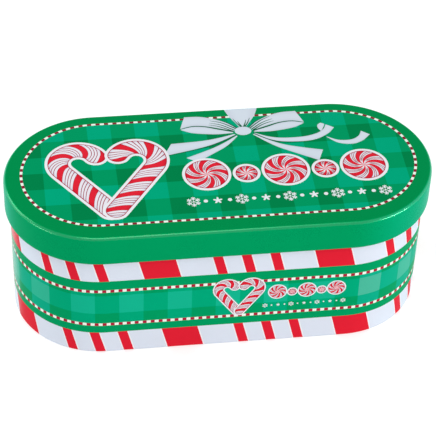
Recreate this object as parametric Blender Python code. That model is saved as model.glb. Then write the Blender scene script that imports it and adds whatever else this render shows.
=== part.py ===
"""Oblong slip-lid candy tin of printed tinplate, modelled in metres with +Z up.

The tin stands on Z = 0 with the origin under its middle. +X runs along its length and +Y
towards its back, where the side seam of the body is. Its plan is a straight spine along X
with a round at each end: every level outline is the set of points at one distance, called
reach, from that spine. A section drawn in reach and height and carried round the spine
gives each pressed, curled or folded edge its true form.
"""

import math

import bmesh
import bpy
from mathutils import Vector

MM = 0.001

# Overall sizes of the closed tin
LID_LENGTH = 216.0 * MM
LID_WIDTH = 94.5 * MM
TIN_HEIGHT = 80.3 * MM
SHEET = 0.3 * MM

# Lid: a pressed tray with its skirt's edge curled inwards
SKIRT_DEPTH = 17.3 * MM
SHOULDER_RADIUS = 2.0 * MM
LID_CURL_RADIUS = 1.1 * MM

# Body wall: a rolled sheet with a curled rim and a folded foot
SLIP_CLEARANCE = 0.4 * MM
REST_GAP = 0.3 * MM
RIM_CURL_RADIUS = 1.0 * MM
CURL_TURN = 300.0
FOOT_RADIUS = 1.2 * MM

# Bottom seam: the wall's hook and the plate's hook lie in each other
SEAM_GAP = 0.3 * MM
HOOK_LENGTH = 2.5 * MM
HOOK_TIP_GAP = 0.15 * MM

# Side seam at the back: a flat rib inside and a fine groove outside
SIDE_SEAM_WIDTH = 4.2 * MM
SIDE_SEAM_LAYERS = 2
SIDE_SEAM_END_GAP = 1.2 * MM
GROOVE_WIDTH = 0.5 * MM
GROOVE_DEPTH = 0.12 * MM

# Printed border, stitch line and squares on the lid
LID_STITCH_INSET = 8.0 * MM
STITCH_WIDTH = 1.6 * MM
LID_STITCHES = 112
SQUARE_SIZE = 12.13 * MM
LID_COLUMN_START = -3.2 * MM
LID_ROW_START = 3.6 * MM

# Printed bands on the body wall, as heights above the surface it stands on
UPPER_CANDY_EDGE = 49.4 * MM
UPPER_STITCH_HEIGHT = 42.7 * MM
LOWER_STITCH_HEIGHT = 19.8 * MM
LOWER_CANDY_EDGE = 14.1 * MM
WALL_STITCHES = 130
WALL_ROW_START = 27.4 * MM
WALL_COLUMN_START = -6.1 * MM

# Slanted candy bars, as places along the wall at one height and a slope below it
CANDY_REPEATS = 6
CANDY_REFERENCE_HEIGHT = 61.0 * MM
CANDY_SLOPE = 0.248
WIDE_BAR_START = -44.9 * MM
WIDE_BAR_WIDTH = 18.2 * MM
NARROW_BAR_WIDTH = 4.9 * MM
NARROW_BAR_FIRST = 36.5 * MM
NARROW_BAR_PITCH = 14.2 * MM
NARROW_BARS = 3

# Facets: steps in each round end of the plan and in each bend of a section
END_STEPS = 24
BEND_STEPS = 5
FOLD_STEPS = 7
CURL_STEPS = 13
SHARP_ANGLE = 40.0

# How near two places count as one, for scored lines and for faces looked up by place
SCORE_TOLERANCE = 0.0001 * MM
SAME_PLACE = 0.03 * MM

# Places that follow from the sizes
LID_REACH = LID_WIDTH / 2
SPINE_HALF = (LID_LENGTH - LID_WIDTH) / 2
BODY_REACH = LID_REACH - 2 * LID_CURL_RADIUS - SLIP_CLEARANCE
RIM_TOP = TIN_HEIGHT - SHEET - REST_GAP
LEAF_PITCH = SHEET + SEAM_GAP
FOLD_OUTER_RADIUS = LEAF_PITCH + SHEET / 2
PLATE_FOLD_REACH = BODY_REACH - max(FOOT_RADIUS, SHEET + SEAM_GAP + FOLD_OUTER_RADIUS)
WALL_FOLD_REACH = PLATE_FOLD_REACH - HOOK_LENGTH - HOOK_TIP_GAP
PLATE_MIDDLE = SHEET / 2 + 3 * LEAF_PITCH

# Print colours, roughness and metallic value, read from the tin
PRINTS = {
    "lacquer_border_green": ((0.004, 0.262, 0.062), 0.28, 0.0),
    "lacquer_band_green": ((0.003, 0.319, 0.112), 0.28, 0.0),
    "lacquer_dark_square": ((0.003, 0.235, 0.058), 0.28, 0.0),
    "lacquer_middle_square": ((0.003, 0.330, 0.122), 0.28, 0.0),
    "lacquer_light_square": ((0.006, 0.418, 0.205), 0.28, 0.0),
    "lacquer_candy_red": ((0.787, 0.016, 0.034), 0.28, 0.0),
    "lacquer_candy_white": ((0.745, 0.770, 0.890), 0.28, 0.0),
}
BARE_TINPLATE = ("bare_tinplate", (0.62, 0.62, 0.60), 0.32, 1.0)


class SheetLine:
    """Middle line of a bent sheet in reach and height, with its left-hand normals."""

    def __init__(self, reach, height, heading):
        self.place = Vector((reach, height))
        self.heading = math.radians(heading)
        self.marks = []
        self.notes = {}
        self.mark()

    def normal(self):
        """Give the direction that lies to the left of the sheet."""
        return Vector((-math.sin(self.heading), math.cos(self.heading)))

    def mark(self):
        """Keep the place reached and the normal there."""
        self.marks.append((self.place.copy(), self.normal()))

    def note(self, name):
        """Remember the mark that the sheet has come to."""
        self.notes[name] = len(self.marks) - 1

    def run(self, length):
        """Carry the sheet straight on."""
        self.place += Vector((math.cos(self.heading), math.sin(self.heading))) * length
        self.mark()

    def bend(self, radius, turn, steps):
        """Bend the sheet to the left for a positive turn, about its middle line."""
        side = math.copysign(radius, turn)
        centre = self.place + self.normal() * side
        for _ in range(steps):
            self.heading += math.radians(turn) / steps
            self.place = centre - self.normal() * side
            self.mark()

    def faces(self):
        """Give the points of the sheet's left face and of its right face."""
        left = [place + normal * SHEET / 2 for place, normal in self.marks]
        right = [place - normal * SHEET / 2 for place, normal in self.marks]
        return left, right


def lid_line():
    """Lid's sheet from its flat top, over the shoulder and down to the inward curl."""
    line = SheetLine(LID_REACH - SHOULDER_RADIUS, TIN_HEIGHT - SHEET / 2, 0)
    line.bend(SHOULDER_RADIUS - SHEET / 2, -90, BEND_STEPS)
    line.run(SKIRT_DEPTH - SHOULDER_RADIUS - LID_CURL_RADIUS)
    line.bend(LID_CURL_RADIUS - SHEET / 2, -CURL_TURN, CURL_STEPS)
    return line


def wall_line():
    """Wall's sheet from its hook under the plate, out, up and over to the curled rim."""
    line = SheetLine(PLATE_FOLD_REACH - HOOK_TIP_GAP, SHEET / 2 + 2 * LEAF_PITCH, 180)
    line.run(HOOK_LENGTH)
    line.bend(LEAF_PITCH, 180, FOLD_STEPS)
    line.run(BODY_REACH - FOOT_RADIUS - WALL_FOLD_REACH)
    line.note("foot")
    line.bend(FOOT_RADIUS - SHEET / 2, 90, BEND_STEPS)
    line.run(RIM_TOP - RIM_CURL_RADIUS - FOOT_RADIUS)
    line.note("rim")
    line.bend(RIM_CURL_RADIUS - SHEET / 2, CURL_TURN, CURL_STEPS)
    return line


def plate_line():
    """Plate's sheet from its flat panel, folded down and back under the wall's hook."""
    line = SheetLine(PLATE_FOLD_REACH, PLATE_MIDDLE, 0)
    line.bend(LEAF_PITCH, -180, FOLD_STEPS)
    line.run(HOOK_LENGTH)
    return line


def plan_points(reach):
    """Level outline at a reach from the spine, anticlockwise from the front right."""
    points = []
    for side in (1, -1):
        for step in range(END_STEPS + 1):
            angle = math.pi * (step / END_STEPS - 0.5)
            x = side * (SPINE_HALF + reach * math.cos(angle))
            points.append((x, side * reach * math.sin(angle)))
    return points


def plan_length(reach):
    """Whole length round an outline."""
    return 4 * SPINE_HALF + 2 * math.pi * reach


def along_plan(index, reach):
    """Distance along an outline to its corner with this index, from the front's middle."""
    laps, corner = divmod(index, 2 * END_STEPS + 2)
    straights = 1 if corner <= END_STEPS else 3
    turned = corner if corner <= END_STEPS else corner - 1
    inside_lap = straights * SPINE_HALF + math.pi * reach * turned / END_STEPS
    return laps * plan_length(reach) + inside_lap


def add_ring(mesh, point):
    """Ring of vertices at a section point's reach and height."""
    return [mesh.verts.new((x, y, point.y)) for x, y in plan_points(point.x)]


def carry_round(mesh, section, closed):
    """Carry a section round the plan, and give its rings and the strips between them."""
    column_layer = mesh.faces.layers.int["column"]
    rings = [add_ring(mesh, point) for point in section]
    pairs = list(zip(rings, rings[1:]))
    if closed:
        pairs.append((rings[-1], rings[0]))
    corners = len(rings[0])
    strips = []
    for lower, upper in pairs:
        strip = []
        for column in range(corners):
            after = (column + 1) % corners
            face = mesh.faces.new((lower[column], lower[after], upper[after], upper[column]))
            face[column_layer] = column
            strip.append(face)
        strips.append(strip)
    return rings, strips


def split(mesh, faces, point, normal):
    """Score a line across some faces, which leaves their surface as it was."""
    edges = {edge for face in faces for edge in face.edges}
    corners = {corner for face in faces for corner in face.verts}
    cut = bmesh.ops.bisect_plane(
        mesh,
        geom=list(faces) + list(edges) + list(corners),
        dist=SCORE_TOLERANCE,
        plane_co=point,
        plane_no=normal,
    )
    return [item for item in cut["geom"] if isinstance(item, bmesh.types.BMFace)]


def finish_object(mesh, name, finishes):
    """Turn a mesh outwards, name it and shade its bends smooth."""
    bmesh.ops.recalc_face_normals(mesh, faces=mesh.faces)
    data = bpy.data.meshes.new(name)
    mesh.to_mesh(data)
    mesh.free()
    for finish in finishes:
        data.materials.append(finish)
    data.shade_smooth()
    data.set_sharp_from_angle(angle=math.radians(SHARP_ANGLE))
    thing = bpy.data.objects.new(name, data)
    bpy.context.collection.objects.link(thing)
    return thing


def new_mesh():
    """Empty mesh whose faces can be numbered by their column of the plan."""
    mesh = bmesh.new()
    mesh.faces.layers.int.new("column")
    return mesh


def square_edges(start, limit):
    """Edges of a row of squares, as far as a limit on either side of zero."""
    first = -math.floor((limit + start) / SQUARE_SIZE)
    last = math.floor((limit - start) / SQUARE_SIZE)
    return [start + line * SQUARE_SIZE for line in range(first, last + 1)]


def square_finish(column, row):
    """Colour of a woven-looking square: light and light, mixed, or dark and dark."""
    tones = ("lacquer_dark_square", "lacquer_middle_square", "lacquer_light_square")
    return tones[(column % 2) + (row % 2)]


def stitch_finish(along, pitch):
    """Colour of a stitch line at a place along it: white and red by turns."""
    white = (along / pitch) % 1 < 0.5
    return "lacquer_candy_white" if white else "lacquer_candy_red"


class WallPrint:
    """Bands of colour scored into the outer face of the wall and of its foot."""

    def __init__(self, mesh, faces, slots):
        self.mesh = mesh
        self.column_layer = mesh.faces.layers.int["column"]
        self.slots = slots
        self.faces = faces
        self.corners = plan_points(BODY_REACH)
        self.length = plan_length(BODY_REACH)
        self.period = self.length / CANDY_REPEATS

    def column_frame(self, column):
        """A column's first corner, direction, outward normal, start and stretch."""
        first = Vector((*self.corners[column], 0))
        last = Vector((*self.corners[(column + 1) % len(self.corners)], 0))
        start = along_plan(column, BODY_REACH)
        stretch = along_plan(column + 1, BODY_REACH) - start
        along = (last - first) / stretch
        outward = Vector((along.y, -along.x, 0)).normalized()
        return first, along, outward, start, stretch

    def unrolled(self, face):
        """Place of a face's middle along the wall from the front's middle, and its height.

        The place lies between minus and plus half the length, which meet at the side seam.
        """
        middle = face.calc_center_median()
        first, along, _, start, _ = self.column_frame(face[self.column_layer])
        flat = Vector((middle.x, middle.y, 0)) - first
        place = start + flat.dot(along) / along.length_squared
        return (place + self.length / 2) % self.length - self.length / 2, middle.z

    def score_level(self, height):
        """Score a level line all round the wall."""
        self.faces = split(self.mesh, self.faces, (0, 0, height), (0, 0, 1))

    def score_lines(self, low, high, places, slope):
        """Score lines that pass these places at the candy's height and lean by the slope."""
        kept = []
        by_column = {}
        for face in self.faces:
            if low < face.calc_center_median().z < high:
                by_column.setdefault(face[self.column_layer], []).append(face)
            else:
                kept.append(face)
        for column, faces in by_column.items():
            first, along, outward, start, stretch = self.column_frame(column)
            for place in places:
                top = place + slope * (CANDY_REFERENCE_HEIGHT - high)
                bottom = place + slope * (CANDY_REFERENCE_HEIGHT - low)
                for lap in (-1, 0, 1, 2):
                    shift = lap * self.length
                    if bottom + shift <= start or top + shift >= start + stretch:
                        continue
                    point = first + along * (top + shift - start) + Vector((0, 0, high))
                    lean = along * (bottom - top) - Vector((0, 0, high - low))
                    faces = split(self.mesh, faces, point, lean.cross(outward))
            kept.extend(faces)
        self.faces = kept

    def candy_offset(self, along, height):
        """Distance past the start of the wide bar, within one repeat."""
        place = along - CANDY_SLOPE * (CANDY_REFERENCE_HEIGHT - height)
        return (place - WIDE_BAR_START) % self.period

    def is_red(self, along, height):
        """Tell whether a place in the candy bands lies on a red bar."""
        offset = self.candy_offset(along, height)
        if offset < WIDE_BAR_WIDTH:
            return True
        narrow = offset - NARROW_BAR_FIRST
        if not 0 <= narrow < NARROW_BARS * NARROW_BAR_PITCH:
            return False
        return narrow % NARROW_BAR_PITCH < NARROW_BAR_WIDTH

    def bar_edges(self):
        """Both edges of every bar, as places along the wall at the reference height."""
        starts = [(0.0, WIDE_BAR_WIDTH)]
        for bar in range(NARROW_BARS):
            starts.append((NARROW_BAR_FIRST + bar * NARROW_BAR_PITCH, NARROW_BAR_WIDTH))
        edges = []
        for repeat in range(CANDY_REPEATS):
            base = WIDE_BAR_START + repeat * self.period
            for start, width in starts:
                edges.extend((base + start, base + start + width))
        return edges

    def paint(self, face):
        """Give a face the colour of the field that its middle lies in."""
        along, height = self.unrolled(face)
        upper = abs(height - UPPER_STITCH_HEIGHT) < STITCH_WIDTH / 2
        lower = abs(height - LOWER_STITCH_HEIGHT) < STITCH_WIDTH / 2
        if upper or lower:
            name = stitch_finish(along, self.length / WALL_STITCHES)
        elif height > UPPER_CANDY_EDGE or height < LOWER_CANDY_EDGE:
            red = self.is_red(along, height)
            name = "lacquer_candy_red" if red else "lacquer_candy_white"
        elif LOWER_STITCH_HEIGHT < height < UPPER_STITCH_HEIGHT:
            column = math.floor((along - WALL_COLUMN_START) / SQUARE_SIZE) + 1
            row = math.floor((height - WALL_ROW_START) / SQUARE_SIZE) + 1
            name = square_finish(column, row)
        else:
            name = "lacquer_band_green"
        face.material_index = self.slots[name]

    def apply(self):
        """Score every edge of the print, then give each field its colour."""
        half = STITCH_WIDTH / 2
        stitch_edges = []
        for line in (UPPER_STITCH_HEIGHT, LOWER_STITCH_HEIGHT):
            stitch_edges.extend((line - half, line + half))
        rows = [WALL_ROW_START, WALL_ROW_START + SQUARE_SIZE]
        for height in [LOWER_CANDY_EDGE, UPPER_CANDY_EDGE] + stitch_edges + rows:
            self.score_level(height)
        edges = self.bar_edges()
        self.score_lines(UPPER_CANDY_EDGE, RIM_TOP, edges, CANDY_SLOPE)
        self.score_lines(0.0, LOWER_CANDY_EDGE, edges, CANDY_SLOPE)
        columns = square_edges(WALL_COLUMN_START, self.length / 2) + [self.length / 2]
        low = LOWER_STITCH_HEIGHT + half
        self.score_lines(low, UPPER_STITCH_HEIGHT - half, columns, 0.0)
        pitch = self.length / WALL_STITCHES
        stitches = [pitch / 2 * half_stitch for half_stitch in range(2 * WALL_STITCHES)]
        for line in (UPPER_STITCH_HEIGHT, LOWER_STITCH_HEIGHT):
            self.score_lines(line - half, line + half, stitches, 0.0)
        for face in self.faces:
            self.paint(face)


def raise_side_seam(mesh):
    """Press the side seam into the back of the wall: a rib inside, a groove outside."""
    column_layer = mesh.faces.layers.int["column"]
    back_column = END_STEPS
    low = PLATE_MIDDLE + SHEET / 2 + SIDE_SEAM_END_GAP
    high = RIM_TOP - 2 * RIM_CURL_RADIUS - SIDE_SEAM_END_GAP
    across = Vector((1, 0, 0))

    def back_faces(y_position):
        """Find the straight back's faces that lie in one upright plane."""
        found = []
        for face in mesh.faces:
            middle = face.calc_center_median()
            level = abs(middle.y - y_position) < SAME_PLACE
            if face[column_layer] == back_column and level:
                found.append(face)
        return found

    def panel(faces, half_width):
        """Score the seam's outline into a face of the wall and give what lies inside."""
        for height in (low, high):
            faces = split(mesh, faces, (0, 0, height), (0, 0, 1))
        for x in (-half_width, half_width):
            faces = split(mesh, faces, (x, 0, 0), across)
        inside = []
        for face in faces:
            middle = face.calc_center_median()
            if abs(middle.x) < half_width and low < middle.z < high:
                inside.append(face)
        return inside

    inner = panel(back_faces(BODY_REACH - SHEET), SIDE_SEAM_WIDTH / 2)
    rib = bmesh.ops.extrude_face_region(mesh, geom=inner)
    corners = [item for item in rib["geom"] if isinstance(item, bmesh.types.BMVert)]
    bmesh.ops.translate(mesh, verts=corners, vec=(0, -SIDE_SEAM_LAYERS * SHEET, 0))
    bmesh.ops.delete(mesh, geom=inner, context="FACES_ONLY")

    outer = panel(back_faces(BODY_REACH), GROOVE_WIDTH / 2)
    outer = split(mesh, outer, (0, 0, 0), across)
    for height in (low + GROOVE_WIDTH, high - GROOVE_WIDTH):
        outer = split(mesh, outer, (0, 0, height), (0, 0, 1))
    for corner in {corner for face in outer for corner in face.verts}:
        on_line = abs(corner.co.x) < SAME_PLACE
        if on_line and low + GROOVE_WIDTH / 2 < corner.co.z < high - GROOVE_WIDTH / 2:
            corner.co.y -= GROOVE_DEPTH


def build_body_wall(prints, tinplate):
    """Wall of the tin, one sheet from its hooked foot to its curled rim."""
    mesh = new_mesh()
    line = wall_line()
    inner, outer = line.faces()
    _, strips = carry_round(mesh, inner + outer[::-1], True)
    slots = slot_numbers(prints)
    coated = strips[len(inner):-1]
    for strip in strips:
        side = slots["lacquer_candy_white"] if strip in coated else len(slots)
        for face in strip:
            face.material_index = side
    last = len(coated)
    printed = coated[last - line.notes["rim"]:last - line.notes["foot"]]
    WallPrint(mesh, [face for strip in printed for face in strip], slots).apply()
    raise_side_seam(mesh)
    return finish_object(mesh, "body_wall", list(prints.values()) + [tinplate])


def build_bottom_plate(tinplate):
    """Bottom plate, whose folded edge is locked into the wall's hook."""
    mesh = new_mesh()
    upper, lower = plate_line().faces()
    rings, _ = carry_round(mesh, upper + lower[::-1], False)
    mesh.faces.new(rings[0])
    mesh.faces.new(rings[-1])
    return finish_object(mesh, "bottom_plate", [tinplate])


def score_stitches(mesh, strip, slots):
    """Score the strip of lid top under the stitch line into red and white stitches."""
    reach = LID_REACH - LID_STITCH_INSET
    corners = [Vector((*corner, 0)) for corner in plan_points(reach)]
    pitch = plan_length(reach) / LID_STITCHES
    for column, face in enumerate(strip):
        start = along_plan(column, reach)
        stretch = along_plan(column + 1, reach) - start
        first = corners[column]
        along = (corners[(column + 1) % len(corners)] - first) / stretch
        faces = [face]
        edge = math.floor(start / pitch * 2) + 1
        while edge * pitch / 2 < start + stretch:
            faces = split(mesh, faces, first + along * (edge * pitch / 2 - start), along)
            edge += 1
        for piece in faces:
            flat = piece.calc_center_median() - first
            place = start + flat.dot(along) / along.length_squared
            piece.material_index = slots[stitch_finish(place, pitch)]


def score_squares(mesh, panel, slots):
    """Score the lid's panel into squares of three greens."""
    squares = [panel]
    for place in square_edges(LID_COLUMN_START, LID_LENGTH / 2):
        squares = split(mesh, squares, (place, 0, 0), (1, 0, 0))
    for place in square_edges(LID_ROW_START, LID_WIDTH / 2):
        squares = split(mesh, squares, (0, place, 0), (0, 1, 0))
    for face in squares:
        middle = face.calc_center_median()
        column = math.floor((middle.x - LID_COLUMN_START) / SQUARE_SIZE)
        row = math.floor((middle.y - LID_ROW_START) / SQUARE_SIZE) + 1
        face.material_index = slots[square_finish(column, row)]


def build_lid(prints, tinplate):
    """Slip lid, pressed from one sheet, with the print's fields on its top."""
    mesh = new_mesh()
    outer, inner = lid_line().faces()
    stitch_reach = LID_REACH - LID_STITCH_INSET
    stitch_rings = [
        Vector((stitch_reach - STITCH_WIDTH / 2, TIN_HEIGHT)),
        Vector((stitch_reach + STITCH_WIDTH / 2, TIN_HEIGHT)),
    ]
    coated = stitch_rings + outer
    rings, strips = carry_round(mesh, coated + inner[::-1], False)
    slots = slot_numbers(prints)
    for order, strip in enumerate(strips):
        side = slots["lacquer_border_green"] if order < len(coated) - 1 else len(slots)
        for face in strip:
            face.material_index = side
    panel = mesh.faces.new(rings[0])
    underside = mesh.faces.new(rings[-1])
    underside.material_index = len(slots)
    score_stitches(mesh, strips[0], slots)
    score_squares(mesh, panel, slots)
    return finish_object(mesh, "lid", list(prints.values()) + [tinplate])


def slot_numbers(prints):
    """Number the printed finishes in the order of the material slots."""
    return {name: number for number, name in enumerate(prints)}


def make_finish(name, colour, roughness, metallic):
    """Principled material of one printed colour or of the bare metal."""
    finish = bpy.data.materials.new(name)
    finish.use_nodes = True
    shader = finish.node_tree.nodes["Principled BSDF"]
    shader.inputs["Base Color"].default_value = (*colour, 1.0)
    shader.inputs["Roughness"].default_value = roughness
    shader.inputs["Metallic"].default_value = metallic
    finish.diffuse_color = (*colour, 1.0)
    return finish


def main():
    """Clear the scene and build the tin's three pieces."""
    for thing in list(bpy.data.objects):
        bpy.data.objects.remove(thing)
    prints = {}
    for name, (colour, roughness, metallic) in PRINTS.items():
        prints[name] = make_finish(name, colour, roughness, metallic)
    tinplate = make_finish(*BARE_TINPLATE)
    build_body_wall(prints, tinplate)
    build_bottom_plate(tinplate)
    build_lid(prints, tinplate)


main()
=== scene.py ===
"""Dressed scene of an oblong slip-lid candy tin in printed tinplate.

The tin stands on Z = 0 with +X along its length and +Y towards its back. Its plan is a
straight spine along X with a round at each end, so every level outline is the set of points
at one distance, called reach, from that spine. The lid and the wall are sheet profiles
carried round the spine, and the print on them is worked out by their materials. The
ornaments of the print are thin layers of ink that lie on the sheet.
"""

from __future__ import annotations

import logging
import math
from collections.abc import Sequence
from dataclasses import dataclass, field
from enum import Enum
from functools import cached_property, reduce

import bmesh
import bpy
import numpy as np
from mathutils import Matrix, Vector

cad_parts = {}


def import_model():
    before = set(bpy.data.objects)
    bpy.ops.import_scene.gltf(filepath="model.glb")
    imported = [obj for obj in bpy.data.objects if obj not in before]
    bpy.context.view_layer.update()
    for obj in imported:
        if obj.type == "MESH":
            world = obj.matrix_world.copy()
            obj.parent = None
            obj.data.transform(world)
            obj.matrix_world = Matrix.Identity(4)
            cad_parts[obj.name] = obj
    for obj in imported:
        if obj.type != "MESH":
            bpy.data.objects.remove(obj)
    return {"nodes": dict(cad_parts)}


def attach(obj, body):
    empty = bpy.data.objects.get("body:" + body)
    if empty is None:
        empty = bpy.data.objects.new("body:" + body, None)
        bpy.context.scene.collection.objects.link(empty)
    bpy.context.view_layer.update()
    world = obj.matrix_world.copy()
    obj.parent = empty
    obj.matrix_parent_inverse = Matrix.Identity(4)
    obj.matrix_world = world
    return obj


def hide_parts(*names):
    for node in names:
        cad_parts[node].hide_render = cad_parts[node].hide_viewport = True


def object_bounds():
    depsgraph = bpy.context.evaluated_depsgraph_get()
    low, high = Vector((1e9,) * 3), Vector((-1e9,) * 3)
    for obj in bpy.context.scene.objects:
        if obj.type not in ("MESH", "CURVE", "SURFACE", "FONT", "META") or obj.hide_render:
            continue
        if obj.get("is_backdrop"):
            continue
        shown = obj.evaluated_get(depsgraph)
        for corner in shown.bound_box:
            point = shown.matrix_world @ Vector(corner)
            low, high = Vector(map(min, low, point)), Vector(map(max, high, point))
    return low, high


MM = 0.001
LOG = logging.getLogger("candy_tin")
UV_NAME = "print"
INSET_NAME = "inset"
FLOAT = "NodeSocketFloat"
COLOUR = "NodeSocketColor"
VECTOR = "NodeSocketVector"
MERGE_DISTANCE = 0.0005 * MM
SHARP_TURN = math.radians(45)
EDGE_LINE_SHARE = 0.6

Ink = tuple[float, ...]
Spot = tuple[float, float]
Knots = Sequence[Spot]
Material = bpy.types.Material


def ink(red: int, green: int, blue: int) -> Ink:
    """Turn a colour as a screen shows it into the linear colour that a shader takes.

    Args:
        red: Red from 0 to 255.
        green: Green from 0 to 255.
        blue: Blue from 0 to 255.

    Returns:
        The linear red, green and blue, and an alpha of one.
    """
    shown = np.array([red, green, blue]) / 255
    linear = np.where(shown <= 0.04045, shown / 12.92, ((shown + 0.055) / 1.055) ** 2.4)
    return (*(float(part) for part in linear), 1.0)


# Sizes and places


@dataclass(frozen=True)
class TinSizes:
    """Sizes of the closed tin, in metres."""

    length: float = 216.0 * MM
    width: float = 94.5 * MM
    height: float = 80.3 * MM
    sheet: float = 0.3 * MM
    skirt_depth: float = 17.3 * MM
    shoulder_radius: float = 2.0 * MM
    lid_curl_radius: float = 1.1 * MM
    slip: float = 0.4 * MM
    rest_gap: float = 0.3 * MM
    rim_curl_radius: float = 1.0 * MM
    curl_turn: float = 300.0
    foot_radius: float = 1.2 * MM
    leaf_pitch: float = 0.6 * MM
    hook_length: float = 2.5 * MM
    hook_tip_gap: float = 0.15 * MM
    side_seam_width: float = 4.2 * MM
    side_seam_height: float = 0.6 * MM
    side_seam_end_gap: float = 1.2 * MM
    groove_width: float = 0.5 * MM
    groove_depth: float = 0.12 * MM

    @property
    def lid_reach(self) -> float:
        """Reach of the lid's outer face."""
        return self.width / 2

    @property
    def spine_half(self) -> float:
        """Half the length of the plan's spine."""
        return (self.length - self.width) / 2

    @property
    def body_reach(self) -> float:
        """Reach of the wall's outer face."""
        return self.lid_reach - 2 * self.lid_curl_radius - self.slip

    @property
    def rim_top(self) -> float:
        """Height of the wall's curled rim."""
        return self.height - self.sheet - self.rest_gap

    @property
    def plate_fold_reach(self) -> float:
        """Reach at which the bottom plate starts to fold."""
        fold = self.leaf_pitch + self.sheet / 2
        return self.body_reach - max(self.foot_radius, self.leaf_pitch + fold)

    @property
    def wall_fold_reach(self) -> float:
        """Reach at which the wall's foot folds back."""
        return self.plate_fold_reach - self.hook_length - self.hook_tip_gap

    @property
    def plate_top(self) -> float:
        """Height of the bottom plate's upper face."""
        return self.sheet + 3 * self.leaf_pitch


SIZES = TinSizes()
WALL_LENGTH = 4 * SIZES.spine_half + 2 * math.pi * SIZES.body_reach


@dataclass(frozen=True)
class OblongPlan:
    """Columns of points round the tin, from the middle of the back to the same place."""

    spine_half: float = SIZES.spine_half
    end_steps: int = 96
    straight_steps: int = 8
    seam_columns: tuple[float, ...] = (0.0, 0.25 * MM, 2.1 * MM, 2.25 * MM)
    seam_clear: float = 6.0 * MM

    def stops(self) -> tuple[np.ndarray, np.ndarray, np.ndarray]:
        """Work out the columns.

        The back's columns crowd where the side seam is. Each end turns half a circle.

        Returns:
            The place on the spine, the direction as an angle, and the straight distance
            covered so far, one number of each for every column.
        """
        half = self.spine_half
        plain = np.linspace(self.seam_clear, half, self.straight_steps)
        back = np.concatenate([self.seam_columns, plain])
        front = np.linspace(-half, half, 2 * self.straight_steps)
        turn = np.linspace(0, math.pi, self.end_steps + 1)[1:-1]
        level = np.ones_like(turn)
        spine = [-back, -half * level, front, half * level, back[::-1]]
        angle = [0 * back, turn, math.pi + 0 * front, math.pi + turn, 2 * math.pi + 0 * back]
        covered = [back, half * level, 2 * half + front, 3 * half * level, 4 * half - back[::-1]]
        return (
            np.concatenate(spine),
            np.concatenate(angle) + math.pi / 2,
            np.concatenate(covered),
        )

    def along(self, reach: float) -> np.ndarray:
        """Give each column's distance along an outline from the front's middle.

        The distance is the straight part covered plus reach times the angle turned, less
        half the outline's length.

        Args:
            reach: The outline's distance from the spine.

        Returns:
            One distance for every column.
        """
        _, angle, covered = self.stops()
        half_length = 2 * self.spine_half + math.pi * reach
        return covered + (angle - math.pi / 2) * reach - half_length

    def carry(self, section: np.ndarray) -> np.ndarray:
        """Carry a section round the spine.

        A point stands at its reach from the spine, in its column's direction, at its height.

        Args:
            section: Rows of reach and height.

        Returns:
            Points in rows and columns.
        """
        spine, angle, _ = self.stops()
        reach = section[:, :1]
        height = section[:, 1:] * np.ones_like(spine)[None, :]
        across = spine[None, :] + reach * np.cos(angle)[None, :]
        depth = reach * np.sin(angle)[None, :]
        return np.stack([across, depth, height], axis=2)


PLAN = OblongPlan()


def facing(angle: np.ndarray | float) -> np.ndarray:
    """Give the directions that stand at these angles."""
    return np.stack([np.cos(angle), np.sin(angle)], axis=-1)


def leftward(angle: np.ndarray | float) -> np.ndarray:
    """Give the directions that lie to the left of those at these angles."""
    return np.stack([-np.sin(angle), np.cos(angle)], axis=-1)


class SheetProfile:
    """Middle line of a bent sheet in reach and height."""

    def __init__(self, reach: float, height: float, heading: float) -> None:
        """Start the sheet at a place, running in a direction.

        Args:
            reach: Distance from the spine.
            height: Height above the floor.
            heading: Direction in degrees, with nought outwards and ninety upwards.
        """
        self.place = np.array([reach, height])
        self.heading = math.radians(heading)
        self.places = [self.place[None, :]]
        self.normals = [leftward(np.array([self.heading]))]

    def run(self, length: float, stops: Sequence[float] = (1.0,)) -> None:
        """Carry the sheet straight on, with a row of points at each stop.

        Args:
            length: How far it runs.
            stops: Shares of that length, the last of them one.
        """
        way = facing(self.heading) * length
        self.places.append(self.place + way * np.array(stops)[:, None])
        self.normals.append(leftward(np.full(len(stops), self.heading)))
        self.place = self.place + way

    def bend(self, radius: float, turn: float, steps: int) -> None:
        """Bend the sheet, to the left for a positive turn.

        The centre stands one radius to that side, and each point stands one radius back
        from it along the turned normal.

        Args:
            radius: Radius of the sheet's middle line.
            turn: Angle in degrees.
            steps: How many rows of points the bend has.
        """
        side = math.copysign(radius, turn)
        centre = self.place + leftward(self.heading) * side
        headings = self.heading + np.radians(turn) * np.arange(1, steps + 1) / steps
        normals = leftward(headings)
        self.places.append(centre - normals * side)
        self.normals.append(normals)
        self.place = self.places[-1][-1]
        self.heading = float(headings[-1])

    def faces(self) -> tuple[np.ndarray, np.ndarray]:
        """Give the points of the sheet's left face and of its right face."""
        places, normals = np.concatenate(self.places), np.concatenate(self.normals)
        return places + normals * SIZES.sheet / 2, places - normals * SIZES.sheet / 2


# Meshes


@dataclass
class Patch:
    """Grid of points with its print coordinates and its distance in from its edge."""

    points: np.ndarray
    print_place: np.ndarray
    inset: np.ndarray
    wraps: bool = False

    def corners(self, first: int) -> np.ndarray:
        """Number the corners of each four-sided face.

        Args:
            first: Number of the patch's first vertex.

        Returns:
            Four vertex numbers for each face.
        """
        rows, columns = self.points.shape[:2]
        numbers = np.arange(rows * columns).reshape(rows, columns) + first
        if self.wraps:
            numbers = np.hstack([numbers[:, :-1], numbers[:, :1]])
        return faces_of(numbers)

    def loops(self) -> np.ndarray:
        """Give the print coordinates of each face's corners."""
        return faces_of(self.print_place)


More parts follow.
